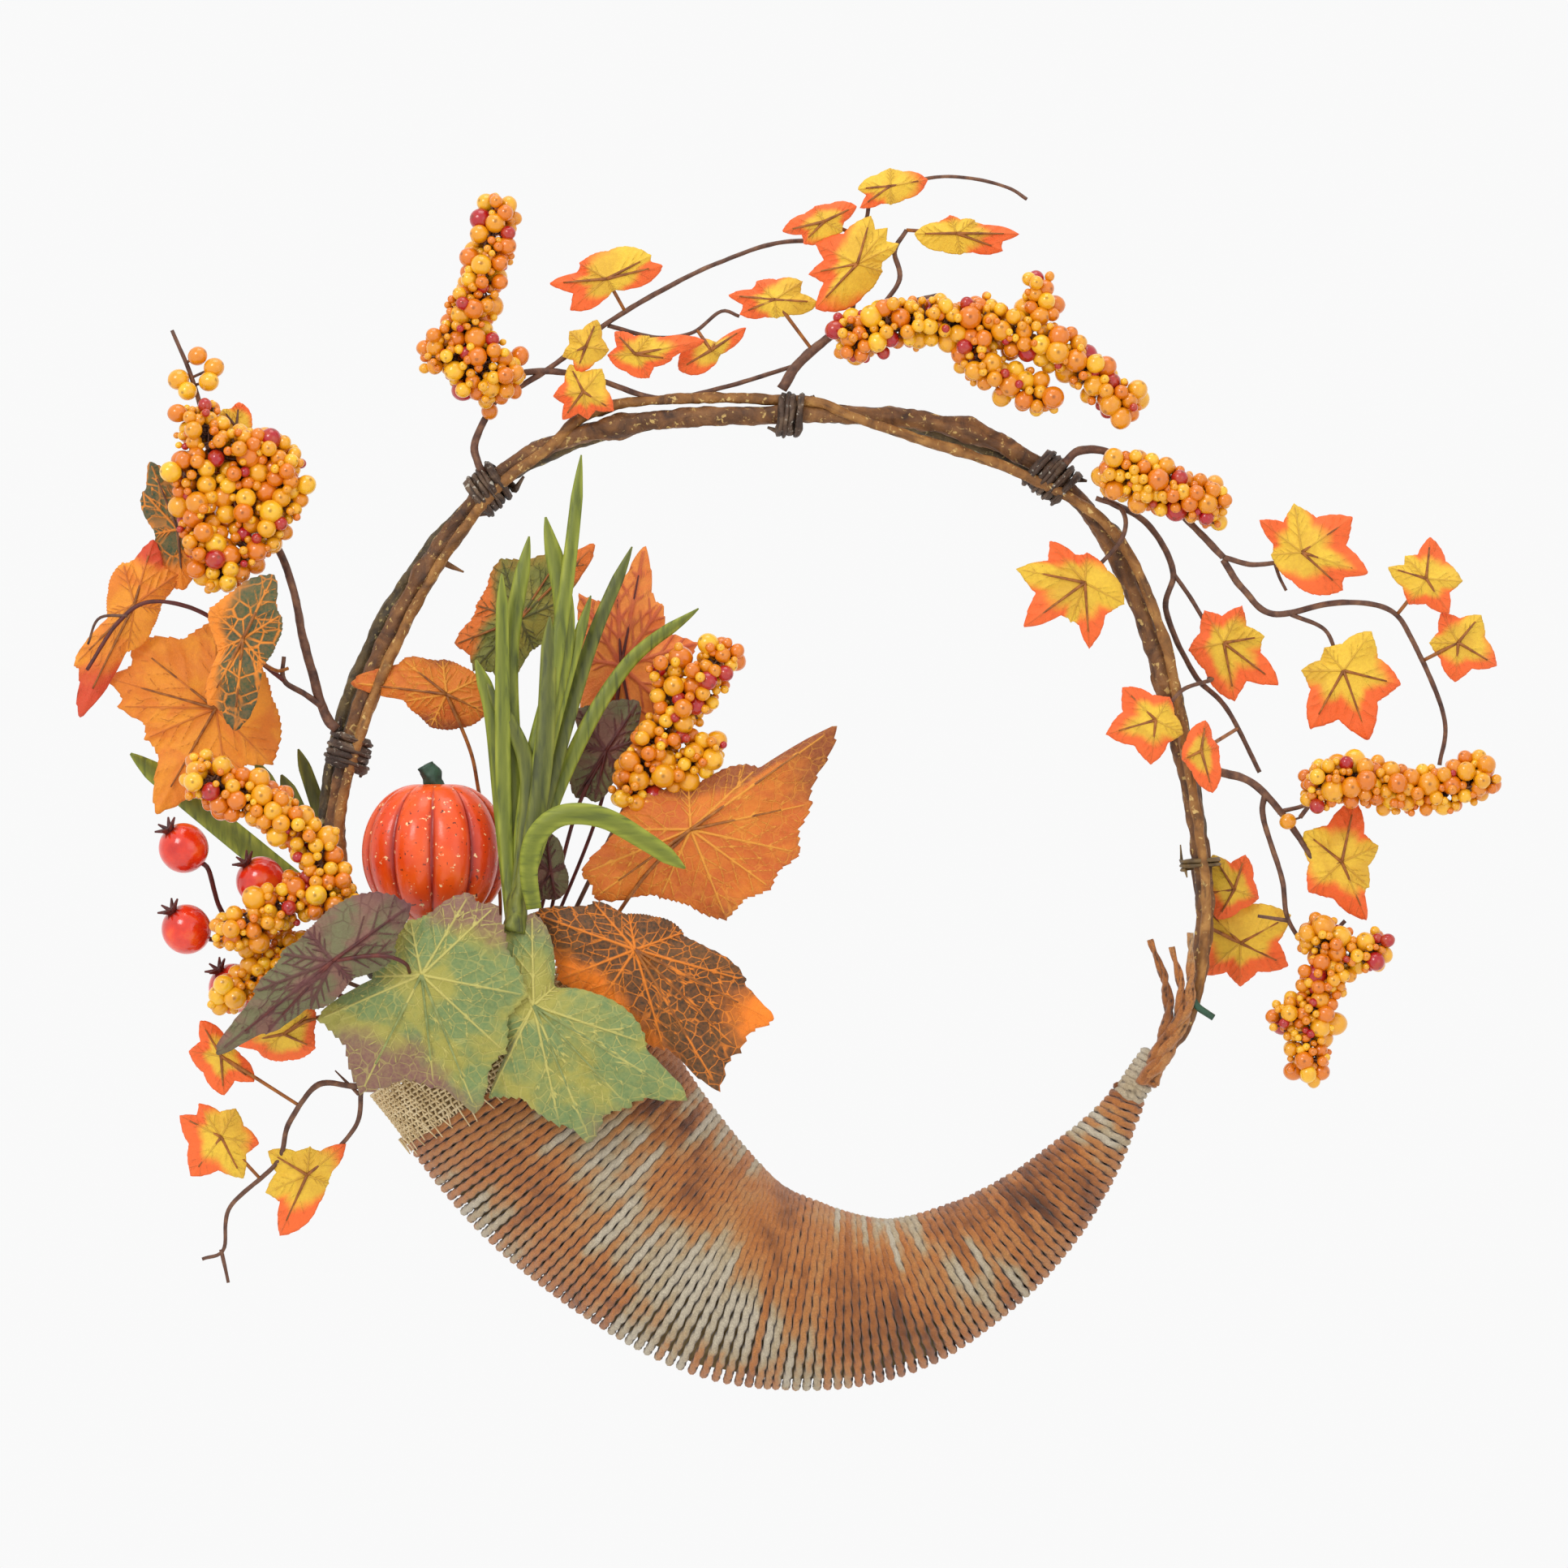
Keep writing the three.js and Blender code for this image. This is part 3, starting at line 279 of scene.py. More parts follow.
def twine_paint():
    """Twisted twine dyed in patches of rust, beige and brown, with the fibres of its two strands, and painted
    shade in the groove between the strands, on their inner side and in the dips of a roughened tube.
    """
    paint = Paint("twine_paper", 0.9, sheen=0.3)
    patch = paint.plus(paint.value("tone"), paint.times(paint.noise(70, 5.0, 1.0), 0.42))
    stops = shades({0.24: (92, 56, 30), 0.4: (150, 94, 46), 0.56: (204, 136, 70),
             0.7: (208, 154, 96), 0.82: (202, 184, 150), 1.0: (214, 204, 182)})
    colour = paint.ramp(patch, stops)
    fibres = paint.noise(1400, 3.0, 1.5)
    colour = paint.mix(paint.span(fibres, 0.35, 0.75, 0.4, 0.0), colour, rgb(86, 42, 18))
    # painted shade: darkened in the grooves between the plies, on the strand's inner side and in the dips of
    # the tail binding
    colour = paint.mix(paint.span(paint.value("tint_and_shade"), 0.2, 0.62, 0.92, 0.0), colour, rgb(58, 30, 14))
    return paint.finish(colour, fibres, 0.8, 0.0006)


def pumpkin_paint():
    paint = Paint("pumpkin_skin", 0.34, 0.25)
    stops = shades({0.3: (228, 78, 10), 0.6: (244, 104, 18), 0.8: (250, 136, 40)})
    colour = paint.ramp(paint.noise(60, 5.0), stops)
    # painted shade: the grooves between the ribs are darkened to a deep red
    colour = paint.mix(paint.span(paint.value("tint_and_shade"), 0.15, 0.9), colour, rgb(170, 34, 8))
    pale = paint.span(paint.noise(420, 4.0), 0.64, 0.7)
    colour = paint.mix(pale, colour, rgb(250, 216, 168))
    dark = paint.span(paint.noise(520, 3.0, 0.4), 0.64, 0.7)
    colour = paint.mix(dark, colour, rgb(110, 40, 14))
    return paint.finish(colour, paint.noise(300, 5.0), 0.45, 0.0007)


def hip_paint():
    paint = Paint("rose_hip_skin", 0.2, 0.6)
    stops = shades({0.3: (196, 32, 20), 0.55: (234, 66, 28), 0.8: (246, 118, 44)})
    colour = paint.ramp(paint.noise(110, 4.0), stops)
    colour = paint.mix(paint.span(paint.value("tint_and_shade"), 0.3, 0.9), colour, rgb(92, 26, 18))
    return paint.finish(colour, paint.noise(420, 3.0), 0.3, 0.0004)


def grass_paint(name, dark, mid, pale, lie):
    """Folded paper, streaked along the axis in which lie is smallest."""
    paint = Paint(name, 0.5, sheen=0.1)
    streaks = paint.noise(60, 4.0, 0.2, paint.stretch(*lie))
    colour = paint.ramp(streaks, {0.32: dark, 0.48: mid, 0.75: pale})
    colour = paint.mix(paint.span(paint.value("vein"), 0.2, 0.9, 0.6, 0.0), colour, dark)
    return paint.finish(colour, streaks, 0.6, 0.0005)


def burlap_paint():
    paint = Paint("burlap_jute", 0.92, sheen=0.3)
    stops = shades({0.3: (206, 182, 136), 0.55: (232, 212, 170), 0.8: (244, 230, 198)})
    fibres = paint.noise(1600, 3.0, 1.0)
    return paint.finish(paint.ramp(paint.noise(160, 5.0), stops), fibres, 0.8, 0.0004)


BARKS = {
    "main_vine": ("vine_bark", (78, 50, 28), (126, 86, 48), (160, 116, 68), (216, 186, 120)),
    "second_vine": ("old_bark", (56, 46, 30), (96, 80, 50), (132, 112, 72), (184, 168, 116)),
    "third_vine": ("pale_bark", (104, 70, 34), (154, 108, 54), (186, 140, 78), (226, 196, 130)),
    "tie": ("tie_twig", (56, 40, 32), (96, 74, 58), (134, 112, 90), (206, 200, 186)),
}
# Plain paints: name, colour stops, and what else differs from surface's own settings.
SURFACES = {
    "wire": ("paper_wire", {0.3: (80, 62, 36), 0.7: (138, 112, 66)}, dict(roughness=0.5)),
    "green_wire": ("green_tape", {0.3: (34, 66, 50), 0.7: (62, 104, 80)}, dict(roughness=0.5)),
    "stem": ("stem_tape", {0.3: (84, 54, 42), 0.55: (122, 86, 66), 0.8: (156, 116, 84)},
             dict(scale=260, roughness=0.6, grain=1200)),
    "claw": ("claw_twig", {0.3: (72, 26, 26), 0.6: (110, 44, 36), 0.85: (140, 76, 52)},
             dict(scale=200, roughness=0.5, depth=0.0004)),
    "rib": ("leaf_rib", {0.3: (128, 74, 26), 0.7: (184, 120, 46)},
            dict(scale=300, roughness=0.5, depth=0.0003)),
    "sage_rib": ("sage_rib", {0.3: (120, 132, 78), 0.7: (166, 172, 112)},
                 dict(scale=300, roughness=0.6, depth=0.0003)),
    "card": ("form_card", {0.3: (170, 144, 102), 0.7: (200, 176, 132)},
             dict(scale=90, roughness=0.9, grain=700)),
    "foam": ("floral_foam", {0.3: (72, 88, 48), 0.7: (100, 118, 68)},
             dict(scale=120, roughness=0.95, grain=1100)),
    "pumpkin_stem": ("pumpkin_stem", {0.3: (24, 48, 38), 0.7: (66, 100, 76)},
                     dict(scale=160, roughness=0.5, grain=500)),
}
# Grass: name, dark, mid and pale colours, and how the streaks are stretched.
BLADES = {
    "grass": ("grass_blade", (96, 106, 26), (140, 148, 40), (168, 172, 66), (7, 7, 0.8)),
    "olive": ("olive_blade", (76, 82, 24), (114, 120, 36), (146, 148, 56), (7, 7, 0.8)),
    "curl": ("curl_blade", (104, 114, 28), (144, 152, 42), (168, 172, 66), (0.8, 7, 7)),
}
# Printed leaves: name, ground, second ground, tint of the lobes, ribs, and leaf_paint's other settings.
PRINTS = {
    "gold": ("leaf_gold", (240, 202, 66), (228, 186, 58), (248, 118, 48), (176, 110, 36),
             dict(rib_width=0.3, rib_share=0.3)),
    "sage": ("leaf_sage", (122, 144, 92), (170, 164, 80), (140, 98, 92), (206, 196, 116),
             dict(net=190, net_share=0.4, blotch=46)),
    "purple": ("leaf_purple", (124, 122, 84), (142, 104, 88), (118, 72, 72), (100, 36, 44),
               dict(net=170, net_share=0.3, rib_width=0.8)),
    "dark": ("leaf_dark", (72, 52, 20), (92, 68, 28), (250, 144, 16), (240, 146, 30),
             dict(net=190, net_share=0.7)),
    "amber": ("leaf_amber", (220, 128, 32), (206, 106, 26), (150, 74, 26), (234, 168, 62),
              dict(net=180, net_share=0.35)),
    "maple": ("leaf_maple", (240, 156, 70), (236, 136, 62), (186, 60, 54), (184, 66, 56),
              dict(blotch=80, rib_width=1.0, rib_share=0.6)),
    "plain": ("leaf_plain", (242, 164, 44), (232, 142, 38), (216, 82, 40), (190, 100, 44),
              dict(rib_width=0.35, rib_share=0.5)),
    "net": ("leaf_net", (58, 88, 62), (74, 98, 62), (240, 150, 40), (238, 152, 44),
            dict(net=120, net_share=0.9)),
    "olive_leaf": ("leaf_olive", (132, 132, 54), (164, 152, 66), (232, 128, 40), (82, 80, 34),
                   dict(net=180, net_share=0.35)),
}


def make_paints():
    paints = {"berry": berry_paint(), "twine": twine_paint(), "pumpkin": pumpkin_paint(), "hip": hip_paint(),
              "burlap": burlap_paint()}
    for key, (name, *colours) in BARKS.items():
        paints[key] = bark_paint(name, *[rgb(*colour) for colour in colours])
    for key, (name, run, settings) in SURFACES.items():
        paints[key] = surface(name, shades(run), **settings)
    for key, (name, *colours, lie) in BLADES.items():
        paints[key] = grass_paint(name, *[rgb(*colour) for colour in colours], lie)
    for key, (name, *colours, settings) in PRINTS.items():
        paints[key] = leaf_paint(name, *[rgb(*colour) for colour in colours], **settings)
    return paints


# ---------------------------------------------------------------- shapes
class Shape:
    """Points and faces gathered from many small forms, with three values kept at each point."""
    VALUES = ("tone", "tint_and_shade", "vein")

    def __init__(self):
        self.points, self.values, self.faces, self.slots = [], [], [], []
        self.count = 0

    def add(self, points, values, faces, slot=0):
        """Each of the three values is one number, or one for every point."""
        points = np.asarray(points, dtype=float).reshape(-1, 3)
        self.points.append(points)
        self.values.append(np.column_stack([np.broadcast_to(np.ravel(v), len(points)) for v in values]))
        self.faces.extend(tuple(self.count + k for k in face) for face in faces)
        self.slots.extend([slot] * len(faces))
        self.count += len(points)

    def piece(self, name, paints, node):
        """A visual piece of these forms, which stands for a CAD node and rides on its body."""
        mesh = bpy.data.meshes.new(name)
        mesh.from_pydata((np.vstack(self.points) * MM).tolist(), [], self.faces)
        table = np.vstack(self.values)
        for column, value in enumerate(self.VALUES):
            layer = mesh.attributes.new(value, "FLOAT", "POINT")
            layer.data.foreach_set("value", np.ascontiguousarray(table[:, column], dtype=np.float32))
        for paint in paints:
            mesh.materials.append(PAINTS[paint])
        mesh.polygons.foreach_set("material_index", self.slots)
        mesh.polygons.foreach_set("use_smooth", [True] * len(mesh.polygons))
        mesh.update()
        thing = link(name, mesh)
        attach(thing, body_of(node))
        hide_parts(node)
        return thing


def spline(points, step):
    """Points about step apart along a smooth curve through a list of points."""
    p = np.asarray(points, dtype=float)
    if len(p) == 2:
        count = max(2, int(np.linalg.norm(p[1] - p[0]) / step) + 1)
        return np.linspace(p[0], p[1], count)
    padded = np.vstack([2 * p[0] - p[1], p, 2 * p[-1] - p[-2]])
    fine = []
    for k in range(len(p) - 1):
        a, b, c, d = padded[k:k + 4]
        t = np.linspace(0, 1, 24, endpoint=False)[:, None]
        fine.append(0.5 * (2 * b + (c - a) * t + (2 * a - 5 * b + 4 * c - d) * t ** 2
                           + (3 * b - a - 3 * c + d) * t ** 3))
    fine = np.vstack([*fine, p[-1:]])
    length = np.concatenate([[0], np.cumsum(np.linalg.norm(np.diff(fine, axis=0), axis=1))])
    even = np.linspace(0, length[-1], max(3, int(length[-1] / step) + 1))
    return np.column_stack([np.interp(even, length, fine[:, axis]) for axis in range(3)])


def directions(path):
    tangents = np.gradient(path, axis=0)
    return tangents / np.linalg.norm(tangents, axis=1)[:, None]


def carried_frame(path):
    """Two cross directions along a path that turn with it as little as they can."""
    tangents = directions(path)
    side = np.cross(tangents[0], (0.3, 1, 0.2))
    sides = []
    for tangent in tangents:
        side = side - tangent * np.dot(side, tangent)
        side = side / np.linalg.norm(side)
        sides.append(side)
    sides = np.array(sides)
    return sides, np.cross(tangents, sides)


def ring_faces(rows, sides):
    """The faces of a closed tube made of rows of points, with its two ends."""
    faces = []
    for row in range(rows - 1):
        for k in range(sides):
            a, b = row * sides + k, row * sides + (k + 1) % sides
            faces.append((a, b, b + sides, a + sides))
    faces.append(tuple(range(sides))[::-1])
    faces.append(tuple((rows - 1) * sides + k for k in range(sides)))
    return faces


def sampled(table, rows):
    """A table's rows at places that may lie between two of them."""
    return np.column_stack([np.interp(rows, np.arange(len(table)), table[:, k]) for k in range(3)])


def wound(path, angles, reach):
    """A line that winds round a path at a distance, at angles spread evenly along it."""
    rows = np.linspace(0, len(path) - 1, len(angles))
    across, over = [sampled(part, rows) for part in carried_frame(path)]
    return sampled(path, rows) + reach * (np.cos(angles)[:, None] * across + np.sin(angles)[:, None] * over)


KNOT_SWELL, KNOT_LENGTH = 0.4, 0.008      # shares of the radius and of the length
OFF_LEAF = 9.0                            # the distance from a vein that a stem is given


def tube(shape, path, start, end, sides=8, tone=0.5, tint_and_shade=1.0, rough=0.0, slot=0, seed=0.0, knots=()):
    """A round stem along a path, tapering from start to end in radius, its surface roughened, with
    swellings at the shares of its length that knots gives."""
    across, over = carried_frame(path)
    rows = len(path)
    angles = np.arange(sides) * 2 * math.pi / sides
    radii = np.linspace(start, end, rows)
    for knot in knots:
        radii = radii * (1 + KNOT_SWELL * np.exp(-((np.linspace(0, 1, rows) - knot) / KNOT_LENGTH) ** 2))
    points = np.zeros((rows, sides, 3))
    dips = np.ones((rows, sides))
    for row in range(rows):
        for k, angle in enumerate(angles):
            if rough:
                spot = Vector((math.cos(angle) * 1.3, math.sin(angle) * 1.3, row * 0.16 + seed))
                dips[row, k] = 1 + rough * field(spot) + rough * 0.5 * field(spot * 2.7)
            reach = radii[row] * dips[row, k]
            points[row, k] = path[row] + reach * (math.cos(angle) * across[row] + math.sin(angle) * over[row])
    # painted shade: points that dip inwards get a low value, which the bark and twine paints darken as shade
    # in the dips
    lit = np.clip(0.5 + 2.5 * (dips - 0.9), 0, 1) * tint_and_shade
    shape.add(points, (tone, lit, OFF_LEAF), ring_faces(rows, sides), slot)


def ball_template(level=3):
    form = bmesh.new()
    bmesh.ops.create_icosphere(form, subdivisions=level, radius=1)
    points = np.array([v.co[:] for v in form.verts])
    faces = [tuple(v.index for v in f.verts) for f in form.faces]
    form.free()
    return points, faces


BALL = ball_template()


def berry(shape, centre, outward, radius, tone, slot=0):
    """A slightly long berry that comes to a small brown point on its outer side."""
    points, faces = BALL
    outward = outward / np.linalg.norm(outward)
    along = points @ outward
    stretch = 0.08 * along + 0.16 * np.clip(along - 0.86, 0, 1)
    placed = centre + radius * (points + stretch[:, None] * outward)
    shape.add(placed, (tone, np.clip(along, 0, 1), 0), faces, slot)


# ---------------------------------------------------------------- leaves
def rim_radius(angles, hub, tips, notch, keen):
    """How far a lobed outline lies from its hub at each angle. It reaches every tip, and dips between
    two tips by notch of its radius; keen above 1 rounds the lobes and below 1 sharpens them."""
    marks = sorted((math.atan2(z - hub[1], x - hub[0]), math.hypot(x - hub[0], z - hub[1]), tint_and_shade)
                   for x, z, tint_and_shade in tips)
    marks.append((marks[0][0] + 2 * math.pi, *marks[0][1:]))
    radii, tints = np.zeros(len(angles)), np.zeros(len(angles))
    for (a, ra, ta), (b, rb, tb) in zip(marks, marks[1:]):
        turned = (angles - a) % (2 * math.pi)
        inside = turned <= b - a
        share = turned[inside] / (b - a)
        eased = share * share * (3 - 2 * share)
        width = min(1.0, (b - a) / 0.6)
        dip = notch * width * (1 - np.abs(2 * share - 1)) ** keen
        radii[inside] = (ra + (rb - ra) * eased) * (1 - dip)
        tints[inside] = ta + (tb - ta) * share
    return radii, tints


def vein_distance(x, z, hub, tips):
    """The distance from each point to the nearest rib, from the hub to a tip or one of its side veins."""
    nearest = np.full(x.shape, 1e3)
    for tip_x, tip_z, _ in tips:
        main = np.array([tip_x - hub[0], tip_z - hub[1]])
        lines = [(np.array(hub, dtype=float), main * 0.93, 1.0)]
        for share in (0.3, 0.5, 0.7):
            for side in (-1, 1):
                turn = np.array([main[0] - side * 0.8 * main[1], main[1] + side * 0.8 * main[0]])
                lines.append((np.array(hub) + share * main, turn * 0.24, 1.9))
        for start, run, weight in lines:
            along = np.clip(((x - start[0]) * run[0] + (z - start[1]) * run[1]) / (run @ run), 0, 1)
            gap = np.hypot(x - start[0] - along * run[0], z - start[1] - along * run[1])
            nearest = np.minimum(nearest, gap * weight * (0.7 + 0.6 * along))
    return nearest


def leaf_faces(sides, rings):
    """The front of a leaf, its back and the thin rim between them."""
    total = 1 + sides * rings
    faces = []
    for k in range(sides):
        step = (k + 1) % sides
        faces.append((0, 1 + k, 1 + step))
        faces.append((total, total + 1 + step, total + 1 + k))
        for row in range(rings - 1):
            a, b = 1 + row * sides + k, 1 + row * sides + step
            faces.append((a, a + sides, b + sides, b))
            faces.append((total + a, total + b, total + b + sides, total + a + sides))
        a, b = 1 + (rings - 1) * sides + k, 1 + (rings - 1) * sides + step
        faces.append((a, total + a, total + b, b))
    return faces


LEAF_THICK = 0.5


def leaf(shape, hub, depth, tips, notch=0.22, keen=0.8, cup=4.0, wave=1.2, teeth=0.03, slot=0, seed=1,
         petiole=(), ribs=1, plain=0):
    """A thin stiff leaf, face on, whose lobes run from the hub to each tip (x, z, tint). A tip given
    without its tint has the plain one. Ribs is the slot that the ribs and the stalk are painted with."""
    tips = [(*tip, plain)[:3] for tip in tips]
    reach = max(math.hypot(x - hub[0], z - hub[1]) for x, z, _ in tips)
    sides = int(90 + 4 * reach)
    rings = int(7 + reach / 3.2)
    angles = np.arange(sides) * 2 * math.pi / sides - math.pi
    radii, tints = rim_radius(angles, hub, tips, notch, keen)
    bite = angles * int(reach * 0.9 + 12) % (2 * math.pi) / (2 * math.pi)
    radii = radii * (1 + teeth * (bite - 0.5))
    shares = (np.arange(rings) + 1) / rings
    r = shares[:, None] * radii[None, :]
    x = np.concatenate([[hub[0]], (hub[0] + r * np.cos(angles)).ravel()])
    z = np.concatenate([[hub[1]], (hub[1] + r * np.sin(angles)).ravel()])
    share = np.concatenate([[0.0], np.repeat(shares, sides)])
    vein = vein_distance(x, z, hub, tips)
    ripple = np.array([field(Vector((a * 0.07, b * 0.07, seed * 3.7))) for a, b in zip(x, z)])
    y = depth + cup * share ** 1.7 + wave * (0.3 + share) * ripple * 2
    y = y - 0.45 * np.exp(-(vein / 0.7) ** 2) + 0.5 * share * np.clip(vein / 3, 0, 1)
    tint_and_shade = np.concatenate([[0.0], (shares[:, None] ** 1.6 * tints[None, :]).ravel()])
    sheets = np.vstack([np.column_stack([x, y + behind, z]) for behind in (0, LEAF_THICK)])
    values = ((seed * 0.37) % 1, np.tile(tint_and_shade, 2), np.tile(vein, 2))
    shape.add(sheets, values, leaf_faces(sides, rings), slot)
    for x_tip, z_tip, _ in sorted(tips, key=lambda t: -math.hypot(t[0] - hub[0], t[1] - hub[1]))[:3]:
        start = np.array([hub[0], depth - 0.5, hub[1]])
        end = np.array([x_tip, depth + cup * 0.55, z_tip])
        tube(shape, spline([start, start + (end - start) * 0.74], 2.5), 0.75, 0.35, 6, slot=ribs)
    if petiole:
        tube(shape, spline([[hub[0], depth + 0.3, hub[1]], *petiole], 2.5), 0.9, 0.8, 6, slot=ribs)


def front_of(node, inset):
    """How far forward a node's leaf may lie: the front of its CAD box, in millimetres."""
    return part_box(node)[0][1] / MM + inset


MOUTH_LEAVES = {
    "green_leaf_left": dict(
        paint="sage", hub=(-145, -233), notch=0.16, cup=7,
        tips=[(-150, -210), (-125, -199, 1), (-114, -204, 0.8), (-101, -242), (-110, -266),
            (-122, -291, 0.4), (-140, -281, 0.7), (-171, -283, 1), (-189, -252, 0.2), (-166, -234)],
        petiole=[(-140, -60, -238), (-128, -30, -252)]),
    "green_leaf_right": dict(
        paint="sage", hub=(-99, -246), notch=0.18, cup=6,
        tips=[(-118, -214), (-100, -207, 0.6), (-90, -238), (-52, -262), (-35, -285, 0.2), (-59, -289, 0.3),
            (-75, -304, 0.4), (-88, -297), (-118, -285), (-110, -264)],
        petiole=[(-102, -48, -252), (-108, -26, -262)]),
    "purple_leaf_left": dict(
        paint="purple", hub=(-181, -227), notch=0.14, cup=5,
        tips=[(-230, -266, 0.4), (-214, -240), (-203, -224, 0.3), (-192, -214), (-149, -204, 0.6),
            (-155, -223), (-173, -235), (-191, -247, 0.2), (-209, -257, 0.3)],
        petiole=[(-168, -86, -225), (-158, -88, -225), (-151, -85, -228), (-150, -72, -232)]),
    "dark_veined_leaf": dict(
        paint="dark", hub=(-57, -223), notch=0.14, cup=7,
        tips=[(-100, -208), (-75, -203), (-60, -208), (-37, -216), (-11, -236, 0.15), (1, -253, 0.75),
            (-13, -266, 0.35), (-22, -282, 0.1), (-45, -265, 0.45), (-75, -250, 1.1), (-90, -236, 0.9)],
        petiole=[(-64, -40, -230), (-92, -22, -256)]),
    "orange_leaf_right": dict(
        paint="amber", hub=(-34, -173), notch=0.12, cup=8,
        tips=[(27, -130, 0.7), (17, -162, 0.4), (12, -183, 0.1), (0, -198), (-19, -211, 0.5), (-47, -202),
            (-75, -202, 0.1), (-80, -192), (-67, -173, 0.2), (-35, -155, 0.8), (-6, -147, 1)],
        petiole=[(-56, -40, -196), (-88, -16, -244)]),
    "maple_leaf": dict(
        paint="maple", hub=(-64, -104), notch=0.3, cup=3, keen=0.75,
        tips=[(-54, -52), (-66, -66, 0.1), (-82, -73), (-84, -100), (-74, -138, 0.4), (-55, -150, 0.2),
            (-38, -128), (-31, -94), (-46, -77, 0.1)],
        petiole=[(-72, -8, -160), (-96, -4, -222)]),
    "long_leaf_back": dict(
        paint="olive_leaf", hub=(-107, -84), notch=0.16, cup=2,
        tips=[(-135, -95, 0.9), (-126, -78, 1), (-115, -58, 0.3), (-89, -56, 0.4), (-75, -52, 1), (-86, -75),
            (-101, -97), (-114, -112), (-127, -106, 0.2)],
        petiole=[(-112, -4, -120), (-106, -2, -200)]),
    "purple_leaf_upper": dict(
        paint="purple", hub=(-70, -140), notch=0.14, cup=2,
        tips=[(-82, -122), (-56, -119, 0.4), (-58, -136), (-64, -150, 0.4), (-75, -162, 0.2), (-83, -160),
            (-80, -138)],
        petiole=[(-84, -22, -170), (-100, -12, -236)]),
    "purple_leaf_low": dict(
        paint="purple", hub=(-93, -191), notch=0.12, cup=2,
        tips=[(-95, -174), (-87, -188, 0.4), (-91, -203, 0.2), (-101, -203, 0.6), (-99, -186)],
        petiole=[(-100, -24, -215), (-112, -14, -244)]),
    "folded_leaf_left": dict(
        paint="amber", hub=(-138, -116), notch=0.12, cup=3,
        tips=[(-179, -111), (-157, -101, 0.3), (-140, -101, 0.6), (-124, -109), (-121, -124, 0.3),
            (-145, -130, 0.8), (-156, -119, 0.2)],
        petiole=[(-128, -6, -140), (-124, -4, -160), (-116, 4, -200), (-118, 8, -238)]),
    "gold_leaf_low": dict(
        paint="gold", hub=(-203, -258), notch=0.2, cup=2,
        tips=[(-224, -262, 1), (-190, -248, 0.6), (-190, -264, 1), (-213, -267, 0.8)],
        petiole=[(-192, -58, -252), (-172, -48, -248)]),
    "left_spray_leaf_large": dict(
        paint="plain", hub=(-236, -122), notch=0.24, cup=3,
        tips=[(-283, -109), (-273, -93), (-236, -83, 0.3), (-225, -95, 0.4), (-212, -146, 0.1), (-231, -158),
            (-262, -167), (-267, -135), (-278, -121)]),
    "left_spray_leaf_folded": dict(
        paint="plain", hub=(-270, -78), notch=0.2, cup=3,
        tips=[(-262, -50, 1), (-252, -65), (-259, -80), (-273, -98, 0.2), (-294, -126, 1), (-296, -104, 0.2),
            (-282, -83), (-275, -60)]),
    "left_spray_leaf_veined": dict(
        paint="net", hub=(-222, -93), notch=0.16, cup=2,
        tips=[(-236, -80, 0.9), (-209, -66, 0.1), (-206, -83), (-213, -104), (-226, -132, 0.1),
            (-237, -121, 0.7), (-233, -98, 1)],
        petiole=[(-218, -30, -100), (-210, -14, -106), (-205, -10, -105)]),
}


RIBS = {"sage": "sage_rib", "purple": "claw", "maple": "claw"}


def make_mouth_leaves():
    for number, (node, spec) in enumerate(MOUTH_LEAVES.items()):
        form = dict(spec)
        paint = form.pop("paint")
        shape = Shape()
        leaf(shape, depth=front_of(node, 2.5), seed=number + 1, **form)
        shape.piece(node + "_cut", [paint, RIBS.get(paint, "rib")], node)


